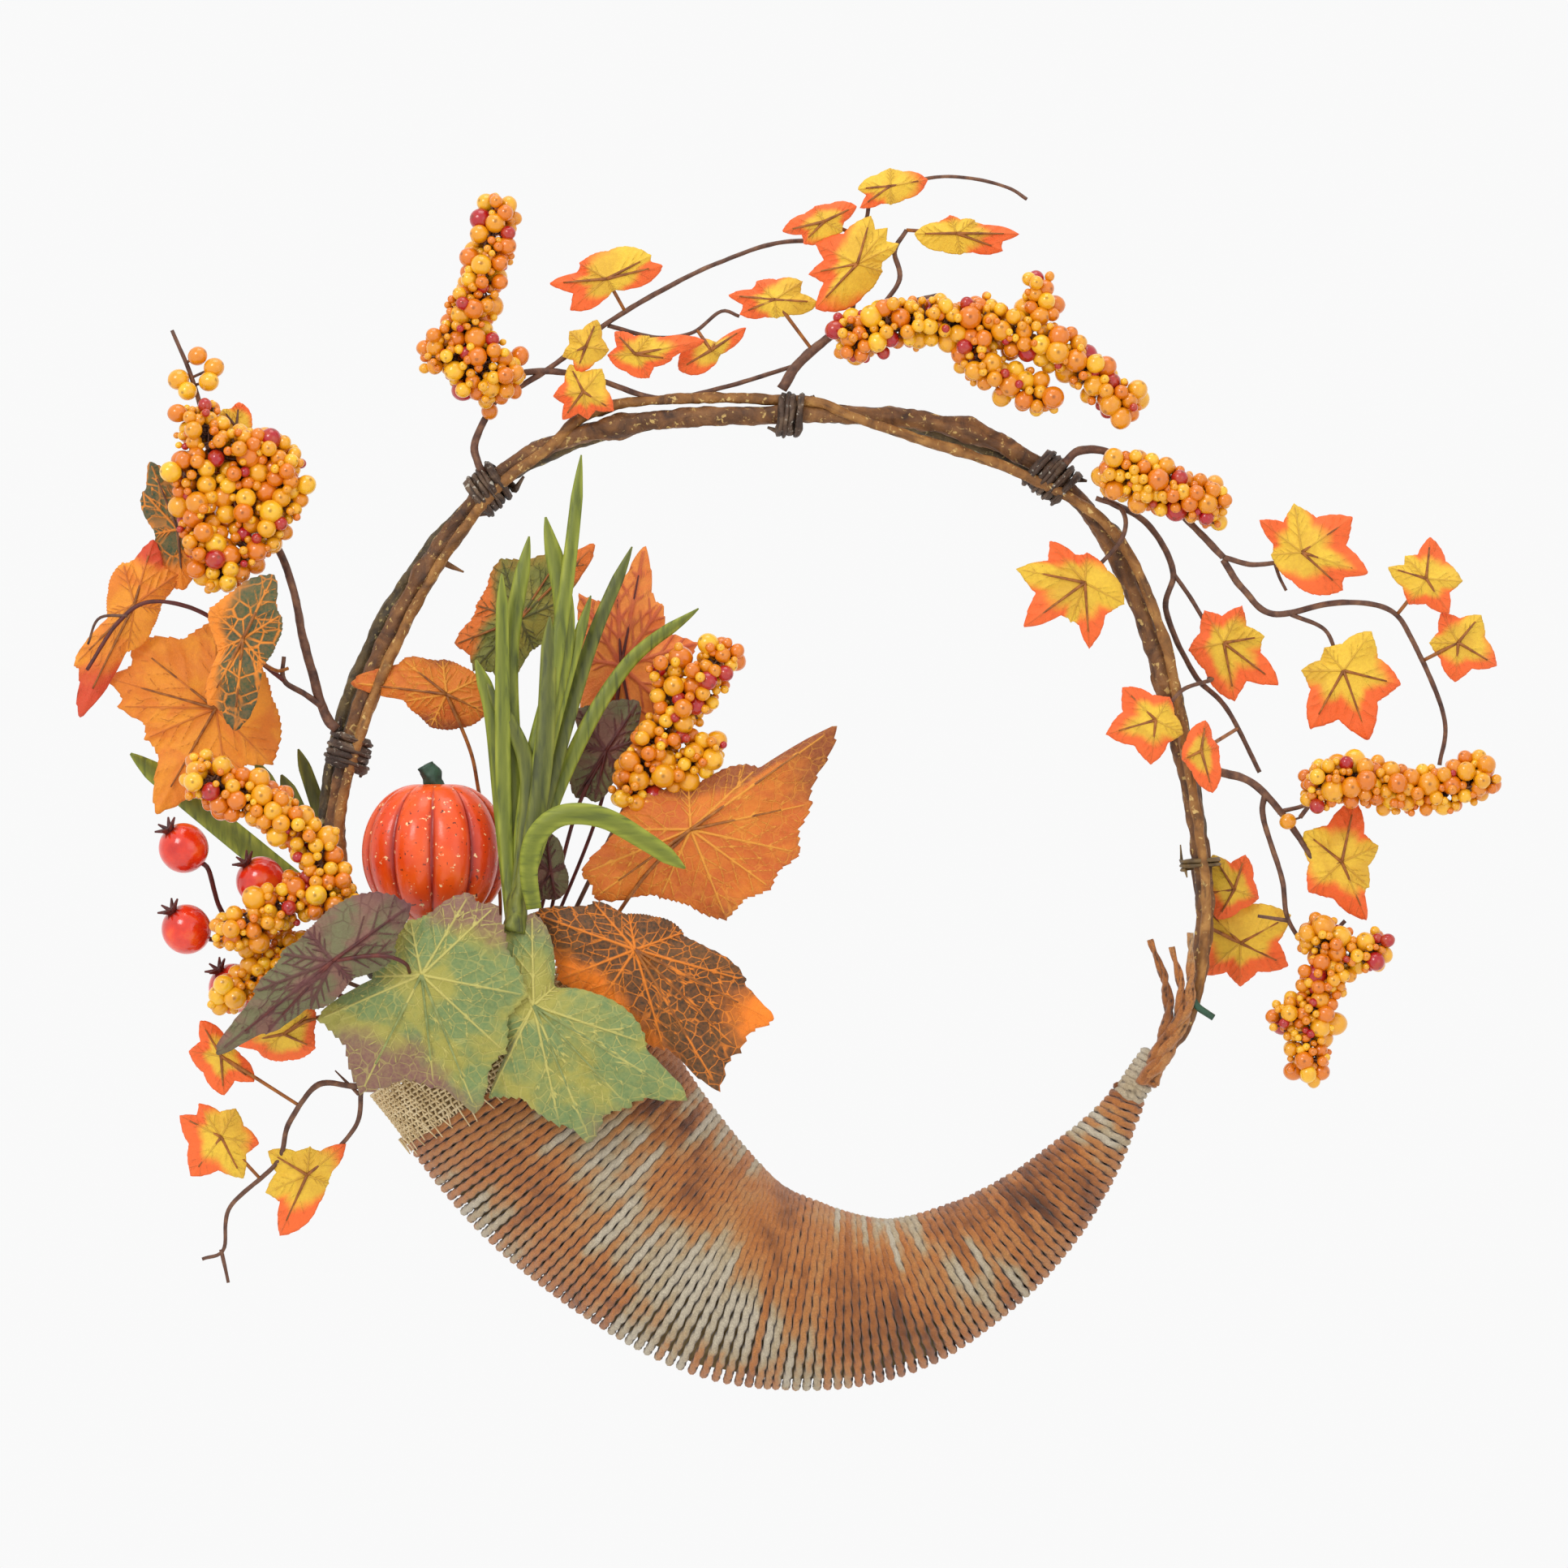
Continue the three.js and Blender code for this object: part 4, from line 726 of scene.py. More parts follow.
# ---------------------------------------------------------------- sprays
# Stems are (route, radius, tip radius), leaves are (depth, hub, tips) and beads are (centre, radius).
ORANGE, PLAIN, HALF = 1.2, 0.1, 0.7
STEMS = {
    "left_spray_stem": dict(
        stems=[
            ([(-185, -3, -131), (-190, -3, -124), (-198, -6, -96), (-206, -8, -62), (-224, -10, -28),
             (-241, -12, 2)], 2.2, 1.2),
            ([(-241, -12, 2), (-246, -12, 19), (-254, -12, 38)], 1.2, 0.8),
            ([(-191, -4, -121), (-198, -5, -116), (-207, -8, -110), (-207, -8, -100)], 1.5, 0.9),
            ([(-207, -8, -110), (-222, -12, -98), (-240, -16, -82), (-262, -20, -77), (-276, -21, -86),
             (-289, -22, -106)], 1.1, 0.8),
            ([(-272, -21, -83), (-284, -20, -84), (-289, -18, -95)], 0.8, 0.5)],
        beads=[((-243, -14, 27), 4), ((-236, -15, 22), 4.2), ((-251, -15, 17), 4.4), ((-238, -17, 16), 4.2),
            ((-247, -17, 12), 4)]),
    "upper_left_spray_stem": dict(
        stems=[
            ([(-123, -3, -22), (-125, -3, -17), (-126, -3, -8), (-117, -4, 10)], 1.8, 1.4),
            ([(-117, -4, 10), (-108, -3, 20), (-82, -2, 20), (-48, 1, 10), (-20, 3, 15), (12, 6, 25)], 1.5,
             0.9),
            ([(-108, -3, 14), (-90, -2, 26), (-70, 0, 42), (-45, 1, 57), (-22, 2, 68), (8, 4, 77),
             (51, 5, 74)], 1.3, 0.8),
            ([(-70, 1, 41), (-50, 2, 36), (-34, 2, 38), (-22, 3, 47), (-14, 3, 45)], 1, 0.8)],
        leaves=[
            (-9, (-70, 60), [(-95, 58, ORANGE), (-82, 67, HALF), (-51, 70), (-46, 66, ORANGE), (-67, 55),
             (-86, 47, ORANGE)]),
            (-11, (-79, 31), [(-89, 27), (-86, 38), (-74, 43), (-69, 30), (-83, 20, HALF)]),
            (-10, (-58, 28), [(-70, 28, HALF), (-67, 38, ORANGE), (-52, 36), (-28, 34, ORANGE),
             (-42, 26, HALF), (-52, 18, ORANGE)]),
            (-12, (-80, 12), [(-93, 10, ORANGE), (-86, 24), (-72, 22), (-67, 4, HALF), (-78, 0, ORANGE),
             (-89, 0, ORANGE)]),
            (-4, (-26, 30), [(-40, 22, ORANGE), (-24, 34), (-11, 40, ORANGE), (-22, 28)])]),
    "top_spray_stem": dict(
        stems=[
            ([(4, -5, 13.5), (10, -6, 23), (20, -6, 32), (36, -7, 43), (70, -8, 53)], 2.3, 1.3),
            ([(33, -6, 42), (35, -5, 54), (34, -4, 66), (40, -4, 86)], 1.1, 1),
            ([(46, -7, 48), (54, -6, 60), (52, -5, 72), (57, -5, 81)], 1.1, 1),
            ([(40, -4, 86), (44, -4, 96), (66, -5, 103), (84, -5, 103), (100, -5, 99), (108, -6, 94)], 0.9,
             0.7)],
        leaves=[
            (-12, (1, 51), [(-19, 53, ORANGE), (-7, 59, ORANGE), (13, 59), (20, 50), (2, 43),
             (-14, 45, ORANGE)]),
            (-12, (22, 84), [(4, 80, ORANGE), (18, 91, HALF), (36, 91, ORANGE), (30, 80), (13, 75, HALF)]),
            (-12, (50, 99), [(36, 98), (50, 107), (66, 102, HALF), (50, 91), (37, 90, ORANGE)]),
            (-12, (78, 79), [(60, 79), (75, 87, HALF), (86, 85), (105, 79, ORANGE), (98, 72, ORANGE),
             (80, 70)]),
            (-13, (36, 66), [(42, 87), (49, 82), (54, 75), (47, 63), (18, 47, HALF), (15, 62, ORANGE),
             (18, 75, ORANGE)])]),
    "upper_right_spray_stem": dict(
        stems=[
            ([(124, -9, -18), (130, -10, -13), (143, -10, -14), (160, -10, -26), (191, -10, -58)], 1.8, 1.5),
            ([(191, -10, -58), (203, -8, -61), (215, -6, -60)], 1.2, 1),
            ([(191, -9, -59), (200, -8, -72), (213, -6, -82), (240, -3, -77), (262, -2, -80), (273, -1, -95),
             (286, 3, -126), (284, 4, -146)], 1.5, 0.9),
            ([(220, -5, -82), (234, -4, -88), (239, -3, -97)], 1, 0.9),
            ([(213, -7, -60), (215, -6, -66), (218, -6, -72)], 0.8, 0.6)],
        leaves=[
            (-13, (224, -56), [(206, -42, ORANGE), (221, -35), (246, -41, ORANGE), (253, -65, HALF),
             (242, -72, ORANGE), (211, -57)]),
            (-9, (277, -67), [(268, -57), (279, -49, ORANGE), (293, -68), (287, -82, ORANGE),
             (270, -78, HALF), (261, -62)]),
            (-5, (291, -94), [(284, -81, ORANGE), (301, -82), (308, -104, HALF), (290, -111, ORANGE),
             (279, -94)]),
            (-9, (242, -106), [(234, -96), (254, -89), (267, -112, HALF), (253, -136, ORANGE),
             (228, -131, ORANGE), (224, -106)])]),
    "lower_right_spray_stem": dict(
        stems=[
            ([(178, -9, -143), (187, -9, -148), (204, -9, -154), (220, -9, -172), (233, -9, -193)], 2.1,
             1.1),
            ([(214, -8, -166), (228, -8, -162), (240, -7, -152), (247, -7, -157), (256, -6, -149),
             (263, -6, -155)], 1, 0.8),
            ([(209, -9, -158), (208, -8, -168), (216, -8, -194), (219, -7, -212), (230, -6, -224),
             (243, -6, -212)], 1.3, 0.9),
            ([(219, -7, -212), (206, -5, -210)], 1, 0.7)],
        leaves=[
            (-12, (241, -187), [(247, -160, ORANGE), (257, -180), (253, -198), (252, -212, ORANGE),
             (227, -200, HALF), (225, -174)])]),
    "right_sprig": dict(
        stems=[
            ([(141, 11, -32), (160, 11, -43), (171, 11, -63), (168, 11, -80), (180, 11, -107),
             (194, 11, -122), (208, 11, -149)], 1.5, 1),
            ([(171, 11, -64), (178, 10, -74), (184, 9, -84)], 1, 0.9)],
        leaves=[
            (2, (192, -94), [(184, -80, ORANGE), (200, -78, HALF), (210, -91), (216, -112, ORANGE),
             (197, -119, HALF), (177, -97, ORANGE)]),
            (-21, (181, -140), [(183, -127, ORANGE), (189, -138, ORANGE), (186, -158, ORANGE),
             (173, -144, HALF)])]),
    "ring_leaf_right": dict(
        stems=[
            ([(166, -13, -123), (174, -12, -114), (186, -4, -110), (186, 6, -109)], 0.9, 0.9)],
        leaves=[
            (-17, (162, -127), [(148, -113, ORANGE), (168, -117, HALF), (174, -133), (160, -146, ORANGE),
             (141, -133, HALF)])]),
    "ring_leaf_inner": dict(
        stems=[
            ([(137, -12, -33), (148, -12, -38), (148, -13, -50), (134, -14, -66)], 1.1, 0.9)],
        leaves=[
            (-19, (132, -69), [(117, -51, ORANGE), (133, -56, HALF), (149, -78), (134, -97, ORANGE),
             (126, -86), (106, -88, ORANGE), (103, -63)])]),
    "ring_leaves_back": dict(
        stems=[
            ([(182, 13, -176), (180, 13, -190), (184, 13.5, -214)], 1.2, 1.2)],
        leaves=[
            (10, (197, -199), [(188, -184), (202, -184, ORANGE), (208, -203, HALF), (190, -212, ORANGE)]),
            (15, (200, -222), [(184, -206), (222, -210), (221, -232, ORANGE), (200, -241, ORANGE),
             (184, -236, ORANGE)])]),
    "bottom_left_stem": dict(
        stems=[
            ([(-160, -44, -268), (-172, -42, -280), (-190, -40, -280), (-203, -35, -297), (-208, -32, -313),
             (-228, -28, -332), (-231, -26, -350), (-240, -26, -354)], 1.4, 0.8),
            ([(-232, -26, -350), (-229, -26, -364)], 0.9, 0.7),
            ([(-172, -42, -280), (-174, -36, -296), (-185, -30, -310)], 1.2, 0.9),
            ([(-173, -41, -284), (-183, -41, -274)], 0.9, 0.3)],
        leaves=[
            (-38, (-231, -268), [(-240, -253, ORANGE), (-226, -264), (-217, -279, ORANGE),
             (-230, -285, ORANGE), (-245, -266, ORANGE)]),
            (-37, (-231, -302), [(-241, -288, HALF), (-225, -290), (-215, -305, HALF), (-222, -320),
             (-244, -319, ORANGE), (-249, -293, ORANGE)]),
            (-36, (-195, -318), [(-179, -305, HALF), (-186, -322), (-207, -344, ORANGE), (-213, -326),
             (-212, -308), (-194, -306)])]),
}


def closest(paths, place):
    """The point of some paths nearest to a place."""
    points = np.vstack(paths)
    return points[np.argmin(np.linalg.norm(points - np.asarray(place, dtype=float), axis=1))]


def make_sprays():
    for number, (node, spec) in enumerate(STEMS.items()):
        shape = Shape()
        paths = []
        for order, (route, radius, tip) in enumerate(spec["stems"]):
            paths.append(spline(route, 1.6))
            claw = 3 if node == "left_spray_stem" and order == 3 else 1
            tube(shape, paths[-1], radius, tip, 10, rough=0.22, slot=claw, seed=order * 5.3 + number)
        for order, (depth, hub, tips) in enumerate(spec.get("leaves", [])):
            root = closest(paths, (hub[0], depth + 4, hub[1]))
            leaf(shape, hub, depth, tips, notch=0.32, cup=2.5, wave=1.1, teeth=0.02,
                 seed=number * 7 + order, petiole=[tuple(root)], ribs=2, plain=PLAIN)
        for order, (centre, radius) in enumerate(spec.get("beads", [])):
            root = closest(paths, centre)
            outward = np.array(centre) - root + (0, -1, 0)
            tube(shape, spline([root, centre], 2), 0.6, 0.6, 6, slot=1)
            berry(shape, np.array(centre), outward, radius, 0.4 + 0.12 * order, slot=4)
        shape.piece(node + "_twig", ["gold", "stem", "rib", "claw", "berry"], node)


def make_dark_leaf():
    """The green leaf at the left with its orange edge, and the small leaf that shares its stalk."""
    shape = Shape()
    leaf(shape, (-252, -46), -7, [(-264, -17, 0.1), (-252, -24), (-232, -40, 0.7), (-241, -59, 0.9),
                                  (-250, -72, 1), (-262, -48), (-267, -30, 0.1)],
         notch=0.12, cup=2, seed=4, petiole=[(-244, -4, -44), (-232, -6, -26), (-228, -7, -6)])
    leaf(shape, (-227, -3), -9, [(-233, 5, 0.2), (-226, 8, 0.8), (-222, -7, 0.2), (-228, -16, 0.9)],
         notch=0.2, cup=1.5, seed=9, slot=2, petiole=[(-228, -7, -6)])
    shape.piece("left_spray_leaf_dark_cut", ["net", "stem", "gold"], "left_spray_leaf_dark")


# ---------------------------------------------------------------- berries
# The highest place for a berry's middle, where another spray bends down over a cluster.
CEILINGS = {"upper_right_spray_berries": -16}


def cluster(node, seed, size=(2.8, 5.1), crowd=1.46, tries=3600, reach=4.2):
    """Berries standing on stalks all over the form that the CAD cluster fills, with small buds
    between them, and a stem along the middle that every stalk comes from."""
    ceiling = CEILINGS.get(node, math.inf)
    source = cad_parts[node].data
    points = [v.co / MM for v in source.vertices]
    tree = BVHTree.FromPolygons(points, [tuple(p.vertices) for p in source.polygons])
    draw = random.Random(seed)
    source.calc_loop_triangles()
    triangles = [t for t in source.loop_triangles if t.area > 0]
    weights = [t.area for t in triangles]
    placed, roots = [], []
    shape = Shape()
    for triangle in draw.choices(triangles, weights, k=tries):
        a, b = sorted((draw.random(), draw.random()))
        p, q, r = [points[v] for v in triangle.vertices]
        spot = p * a + q * (b - a) + r * (1 - b)
        normal = Vector(triangle.normal)
        inner = tree.ray_cast(spot - normal * 0.05, -normal)[0]
        width = (inner - spot).length if inner is not None else 3
        if width < 4.5:
            continue
        small = draw.random() < 0.18
        radius = draw.uniform(1.4, 2.3) if small else draw.uniform(*size)
        centre = spot + normal * draw.uniform(-2.0, reach - radius * 0.4)
        if centre.z > ceiling:
            continue
        if any((centre - other).length < (radius + far) * crowd / 2 for other, far in placed):
            continue
        placed.append((centre, radius))
        root = spot - normal * width * 0.5
        roots.append(root)
        bend = (centre + root) / 2 + Vector((draw.uniform(-1, 1), draw.uniform(-1, 1), draw.uniform(-1, 1)))
        tube(shape, spline([root, bend, centre], 2.2), 0.55, 0.45, 5, slot=1)
        outward = np.array(centre - root) + (0, -1.5, 0)
        tone = 0.05 if draw.random() < 0.07 else draw.uniform(0.16, 0.92)
        berry(shape, np.array(centre), outward, radius, tone)
    joined, waiting = [roots[0]], roots[1:]
    while waiting:
        a, b = min(((p, q) for p in joined for q in waiting), key=lambda pair: (pair[0] - pair[1]).length)
        waiting.remove(b)
        joined.append(b)
        tube(shape, spline([a, b], 3), 1.0, 1.0, 6, slot=1)
    shape.piece(node + "_fruit", ["berry", "stem"], node)


BERRY_NODES = ("berries_mouth_right", "berries_mouth_left", "berries_mouth_low", "left_spray_berries",
               "upper_left_spray_berries", "top_spray_berries", "upper_right_spray_berries",
               "lower_right_spray_berries", "lower_right_spray_berries_low")


# ---------------------------------------------------------------- the ring and its ties
VINES = {
    "ring_vine_main": dict(
        radius=4.0, sides=18, paint="main_vine", knots=(0.13, 0.31, 0.44, 0.62, 0.79),
        route=[(-98, 16, -268), (-150, 13, -244), (-180, 8, -214), (-186, 1, -172), (-176, 0, -125),
            (-160, 0, -86), (-135, 0, -45), (-105, 0, -15), (-60, 0, -1), (0, 0, 3), (60, 0, 1),
            (100, 0, -11), (130, 0, -33), (152, 0, -70), (168, 0, -115), (180, 0, -170), (184, 0, -210),
            (177, 0, -250), (160, 0, -278)]),
    "ring_vine_second": dict(
        radius=2.8, sides=12, paint="second_vine", knots=(0.22, 0.55, 0.7),
        route=[(-170, 20, -236), (-188, 10, -205), (-190, 6.6, -160), (-178, 6.6, -110), (-152, 6.6, -62),
            (-120, 6.6, -28), (-75, 6.6, -6), (-20, 6.6, 3), (50, 6.6, 0), (105, 6.6, -18), (144, 6.6, -47),
            (164, 6.6, -87), (176, 6.6, -135), (184, 6.6, -190), (181, 6.8, -235), (171, 7.5, -262)]),
    "ring_vine_third": dict(
        radius=2.3, sides=12, paint="third_vine", knots=(0.35, 0.83),
        route=[(-181, -5, -198), (-183, -6, -165), (-169, -6, -117), (-146, -6, -69), (-119, -6, -31),
            (-97, -5, -13), (-75, 0, 5), (-35, 1, 10), (5, 0.5, 9), (20, -3, 8), (34, -6, 2), (60, -6, -7),
            (107, -6, -23), (144, -6, -46), (164, -6, -86), (172, -6, -118), (178, -6, -155),
            (184, -6, -200), (181, -6, -240), (176, -5, -256)]),
}
THORN = [(-144, -1, -58), (-131, -3, -64)]
TIES = {
    "tie_left": ((-180, -140), (0.2, 0.98), 3),
    "tie_upper_left": ((-120, -28), (0.75, 0.66), 3.4),
    "tie_top": ((8, 3), (1, 0), 2),
    "tie_upper_right": ((119, -24), (0.8, -0.6), 4),
    "wire_tie_right": ((182, -188), (0.1, -0.995), 1.5),
}


def make_vines():
    for number, (node, spec) in enumerate(VINES.items()):
        shape = Shape()
        tube(shape, spline(spec["route"], 1.5), spec["radius"], spec["radius"] * 0.92, spec["sides"],
             rough=0.34, seed=number * 11.0, knots=spec["knots"])
        if node == "ring_vine_main":
            tube(shape, spline(THORN, 0.6), 2.4, 0.4, 10, rough=0.2)
        shape.piece(node + "_bark", [spec["paint"]], node)


def coil(centre, along, turns, radius, pitch, step=0.16):
    """A helix round an axis that lies in the wreath's plane."""
    axis = np.array([along[0], 0, along[1]])
    side = np.array([along[1], 0, -along[0]])
    angles = np.arange(0, turns * 2 * math.pi, step)
    drift = (angles / (2 * math.pi) - turns / 2) * pitch
    return (np.array([centre[0], 0.6, centre[1]]) + drift[:, None] * axis
            + radius * (np.cos(angles)[:, None] * side - np.sin(angles)[:, None] * np.array([0, 1, 0])))


def make_ties():
    for number, (node, (centre, along, turns)) in enumerate(TIES.items()):
        shape = Shape()
        wire = node.startswith("wire")
        thick = 1.0 if wire else 2.0
        wrap = coil(centre, along, turns + 0.6, 8.3 - thick * 0.4, thick * 1.9)
        tube(shape, wrap, thick, thick * 0.8, 10, rough=0.5, seed=number * 3.1)
        if not wire:
            over = coil(centre, along, turns - 0.7, 9.2, thick * 2.5, 0.2)
            tube(shape, over, 1.0, 0.6, 8, rough=0.5, seed=number * 5.7)
        for end, lift in ((wrap[0], -1), (wrap[-1], 1)):
            loose = end + np.array([along[0] * lift * 5, -1.5, along[1] * lift * 5 + 2])
            tube(shape, spline([end, loose], 1.2), thick * 0.7, thick * 0.3, 8, rough=0.3)
        shape.piece(node + "_wrap", ["wire" if wire else "tie"], node)


# ---------------------------------------------------------------- the horn
# The middle line of the horn and half its width there: (x, z, half width), from mouth to tip.
HORN_LINE = [(-120, -252, 62), (-80, -310, 56), (-30, -356, 47), (10, -371, 41), (50, -372, 34),
             (85, -357, 27), (112, -337, 21), (134, -313, 14.5), (146, -296, 9.5), (152, -285, 7.4)]
HORN_DEPTH = 0.74
CUFF_SHARE = 1 / 14          # the burlap shows from the mouth to here along the horn
HORN_STEP = 0.5
HORN_STEPS = spline([(x, w, z) for x, z, w in HORN_LINE], HORN_STEP)
HORN_RUN = directions(HORN_STEPS * (1, 0, 1))


def horn_points(shares, angles, offset):
    """Points on the horn's oval sections, offset outwards, at shares of its length."""
    rows = np.clip(shares * (len(HORN_STEPS) - 1), 0, len(HORN_STEPS) - 1)
    middle, run = sampled(HORN_STEPS, rows), sampled(HORN_RUN, rows)
    across = np.column_stack([run[:, 2], np.zeros(len(rows)), -run[:, 0]])
    width = middle[:, 1]
    points = middle * (1, 0, 1) + across * ((width + offset) * np.cos(angles))[:, None]
    points[:, 1] = (width * HORN_DEPTH + offset) * np.sin(angles)
    outward = across * np.cos(angles)[:, None]
    outward[:, 1] = np.sin(angles)
    return points, outward / np.linalg.norm(outward, axis=1)[:, None]


# Patches of paler and darker twine: (x, z, radius, how much paler).
TWINE_PATCHES = [(-71, -304, 22, 0.46), (-56, -346, 19, 0.5), (-30, -366, 23, 0.5), (-12, -386, 18, 0.46),
                 (-122, -339, 17, 0.44), (-59, -394, 18, 0.42), (-19, -300, 16, 0.44), (46, -341, 14, 0.42),
                 (16, -406, 12, 0.4), (90, -363, 15, 0.46), (136, -300, 11, 0.44),
                 (-42, -296, 11, -0.3), (106, -330, 12, -0.28), (24, -374, 16, -0.1), (62, -386, 14, -0.14)]


STRAND, PITCH, TWIST = 1.85, 3.4, 7.5      # the twine's radius, and the lengths of a wrap and a twist
STRAND_SIDES, PER_TURN, TWINE_PARTS = 8, 210, "abcd"


def twine_tone(points, turn):
    """How pale the twine is: its patches, drifting from wrap to wrap as the windings shift."""
    wrap = np.floor(turn)[:, None]
    drift = 9 * np.sin(wrap * 7.8233)
    strength = 0.85 + 0.3 * np.sin(wrap * 3.7)
    tone = 0.34 + 0.07 * np.sin(wrap * 12.9898)
    for x, z, radius, lift in TWINE_PATCHES:
        gap = np.hypot(points[:, :, 0] - x + drift, points[:, :, 2] - z - drift * 0.6) / radius
        tone = tone + lift * strength * np.exp(-gap ** 3)
    return tone


def make_twine():
    """One strand of two-ply twine wound round the horn from the cuff to the tip, in four lengths."""
    turns = len(HORN_STEPS) * HORN_STEP * (1 - CUFF_SHARE) / PITCH
    share = turns / len(TWINE_PARTS)
    for part, letter in enumerate(TWINE_PARTS):
        count = int(share * PER_TURN) + 1
        turn = np.linspace(share * part, share * (part + 1), count)
        path, outward = horn_points(CUFF_SHARE + (1 - CUFF_SHARE) * turn / turns, turn * 2 * math.pi,
                                    -STRAND * 0.8)
        travelled = np.concatenate([[0], np.cumsum(np.linalg.norm(np.diff(path, axis=0), axis=1))])
        across = np.cross(directions(path), outward)
        points, tint_and_shade = [], []
        for angle in np.arange(STRAND_SIDES) * 2 * math.pi / STRAND_SIDES:
            ply = np.abs(np.cos(angle - travelled * math.pi / TWIST))
            reach = STRAND * (0.74 + 0.32 * ply)[:, None]
            points.append(path + reach * (math.cos(angle) * across + math.sin(angle) * outward))
            # painted shade: a low value in the groove between the two plies and on the side of the strand
            # that faces the horn
            tint_and_shade.append(ply * 0.45 + 0.55 * max(0.0, math.sin(angle)))
        points = np.stack(points, axis=1)
        shape = Shape()
        values = (twine_tone(points, turn), np.stack(tint_and_shade, axis=1), 0)
        shape.add(points, values, ring_faces(count, STRAND_SIDES))
        shape.piece("horn_twine_" + letter, ["twine"], "horn_twine_wrap")


TAIL_ENDS = [([(158, -6, -281), (167, -8, -258), (167, -9, -240), (160, -9, -220)], 2.6),
             ([(159, -6, -281), (171, -9, -256), (173, -11, -240), (169, -12, -223)], 2.6),
             ([(160, -6, -280), (175, -9, -252), (177, -11, -236), (177, -12, -217)], 2.8)]


def make_tail():
    """The binding over the vine ends at the horn's tip, and the trimmed ends that stand free."""
    shape = Shape()
    core = spline([(151, 0, -287), (157, 0, -278), (163, 0, -269)], 0.6)
    binding = wound(core, np.linspace(0, 7.5 * 2 * math.pi, 420), 5.2)
    tube(shape, binding, 1.8, 1.6, 8, tone=0.72, rough=0.3)
    for number, (route, radius) in enumerate(TAIL_ENDS):
        run = spline(route, 0.8)
        swing = np.linspace(1.7, 0.6, len(run))[:, None]
        for ply in (0, math.pi):
            strand = wound(run, np.linspace(0, 16, len(run)) + ply, swing)
            tube(shape, strand, radius * 1.02, 0.8, 8, tone=0.3 + 0.08 * number, rough=0.35,
                 seed=number * 4.0 + ply)
    shape.piece("horn_tail_binding", ["twine"], "horn_tail")
    stub = Shape()
    tube(stub, spline([(178, -8.6, -245), (181, -9, -249), (187, -9, -253)], 0.9), 1.6, 1.5, 12, rough=0.1)
    stub.piece("green_pick_stub_tape", ["green_wire"], "green_pick_stub")


THREAD_SPACING, THREAD_RADIUS, THREAD_LIFT = 2.2, 0.52, 0.36
CUFF_LOW, CUFF_HIGH = -0.006, CUFF_SHARE + 0.004      # shares of the horn's length
CUFF_SPAN = (CUFF_HIGH - CUFF_LOW) * len(HORN_STEPS) * HORN_STEP
CUFF_AROUND = 330.0


def thread(shape, shares, angles, weave, seed):
    """A thread of the burlap, which goes over and under as weave says."""
    path, outward = horn_points(shares, angles, -1.2)
    lifted = path + outward * THREAD_LIFT * np.cos(weave)[:, None]
    tube(shape, lifted, THREAD_RADIUS, THREAD_RADIUS, 5, rough=0.2, seed=seed)


def make_burlap():
    """Coarse burlap that lines the mouth and folds over its lip, thread by thread."""
    rings, lines = int(CUFF_SPAN / THREAD_SPACING), int(CUFF_AROUND / THREAD_SPACING)
    shape = Shape()
    angles = np.linspace(0, 2 * math.pi, 4 * lines, endpoint=False)
    for ring in range(rings + 1):
        share = CUFF_LOW + (CUFF_HIGH - CUFF_LOW) * ring / rings + 0.0012 * np.sin(angles * 5 + ring)
        thread(shape, share, angles, angles * lines / 2 + ring * math.pi, ring * 2.0)
    share = np.linspace(CUFF_LOW, CUFF_HIGH, rings * 4)
    for line in range(lines):
        swing = 2 * math.pi * line / lines + 0.01 * np.sin(share * 90 + line * 1.7)
        weave = np.linspace(0, rings * math.pi, rings * 4) + (line + 1) * math.pi
        thread(shape, share, swing, weave, line * 1.3)
    cloth = shape.piece("burlap_lining_weave", ["burlap"], "burlap_lining")
    fringe = Shape()
    draw = random.Random(8)
    for angle in np.arange(0.1, 2 * math.pi, 0.09):
        share = np.array([CUFF_HIGH - 0.01, CUFF_HIGH + draw.uniform(0.004, 0.02)])
        swing = np.array([angle, angle + draw.uniform(-0.05, 0.05)])
        ends = horn_points(share, swing, 1.2)[0]
        tube(fringe, spline(ends, 1.5), 0.45, 0.25, 5, rough=0.2, seed=angle)
    fringe.piece("burlap_fringe", ["burlap"], "burlap_lining")


# ---------------------------------------------------------------- pumpkin, hips and grass
PUMPKIN_STRETCH = 1.13       # how much taller the pumpkin is than its simple CAD form
PUMPKIN_RIBS, PUMPKIN_SIDES, PUMPKIN_ROWS = 10, 200, 90


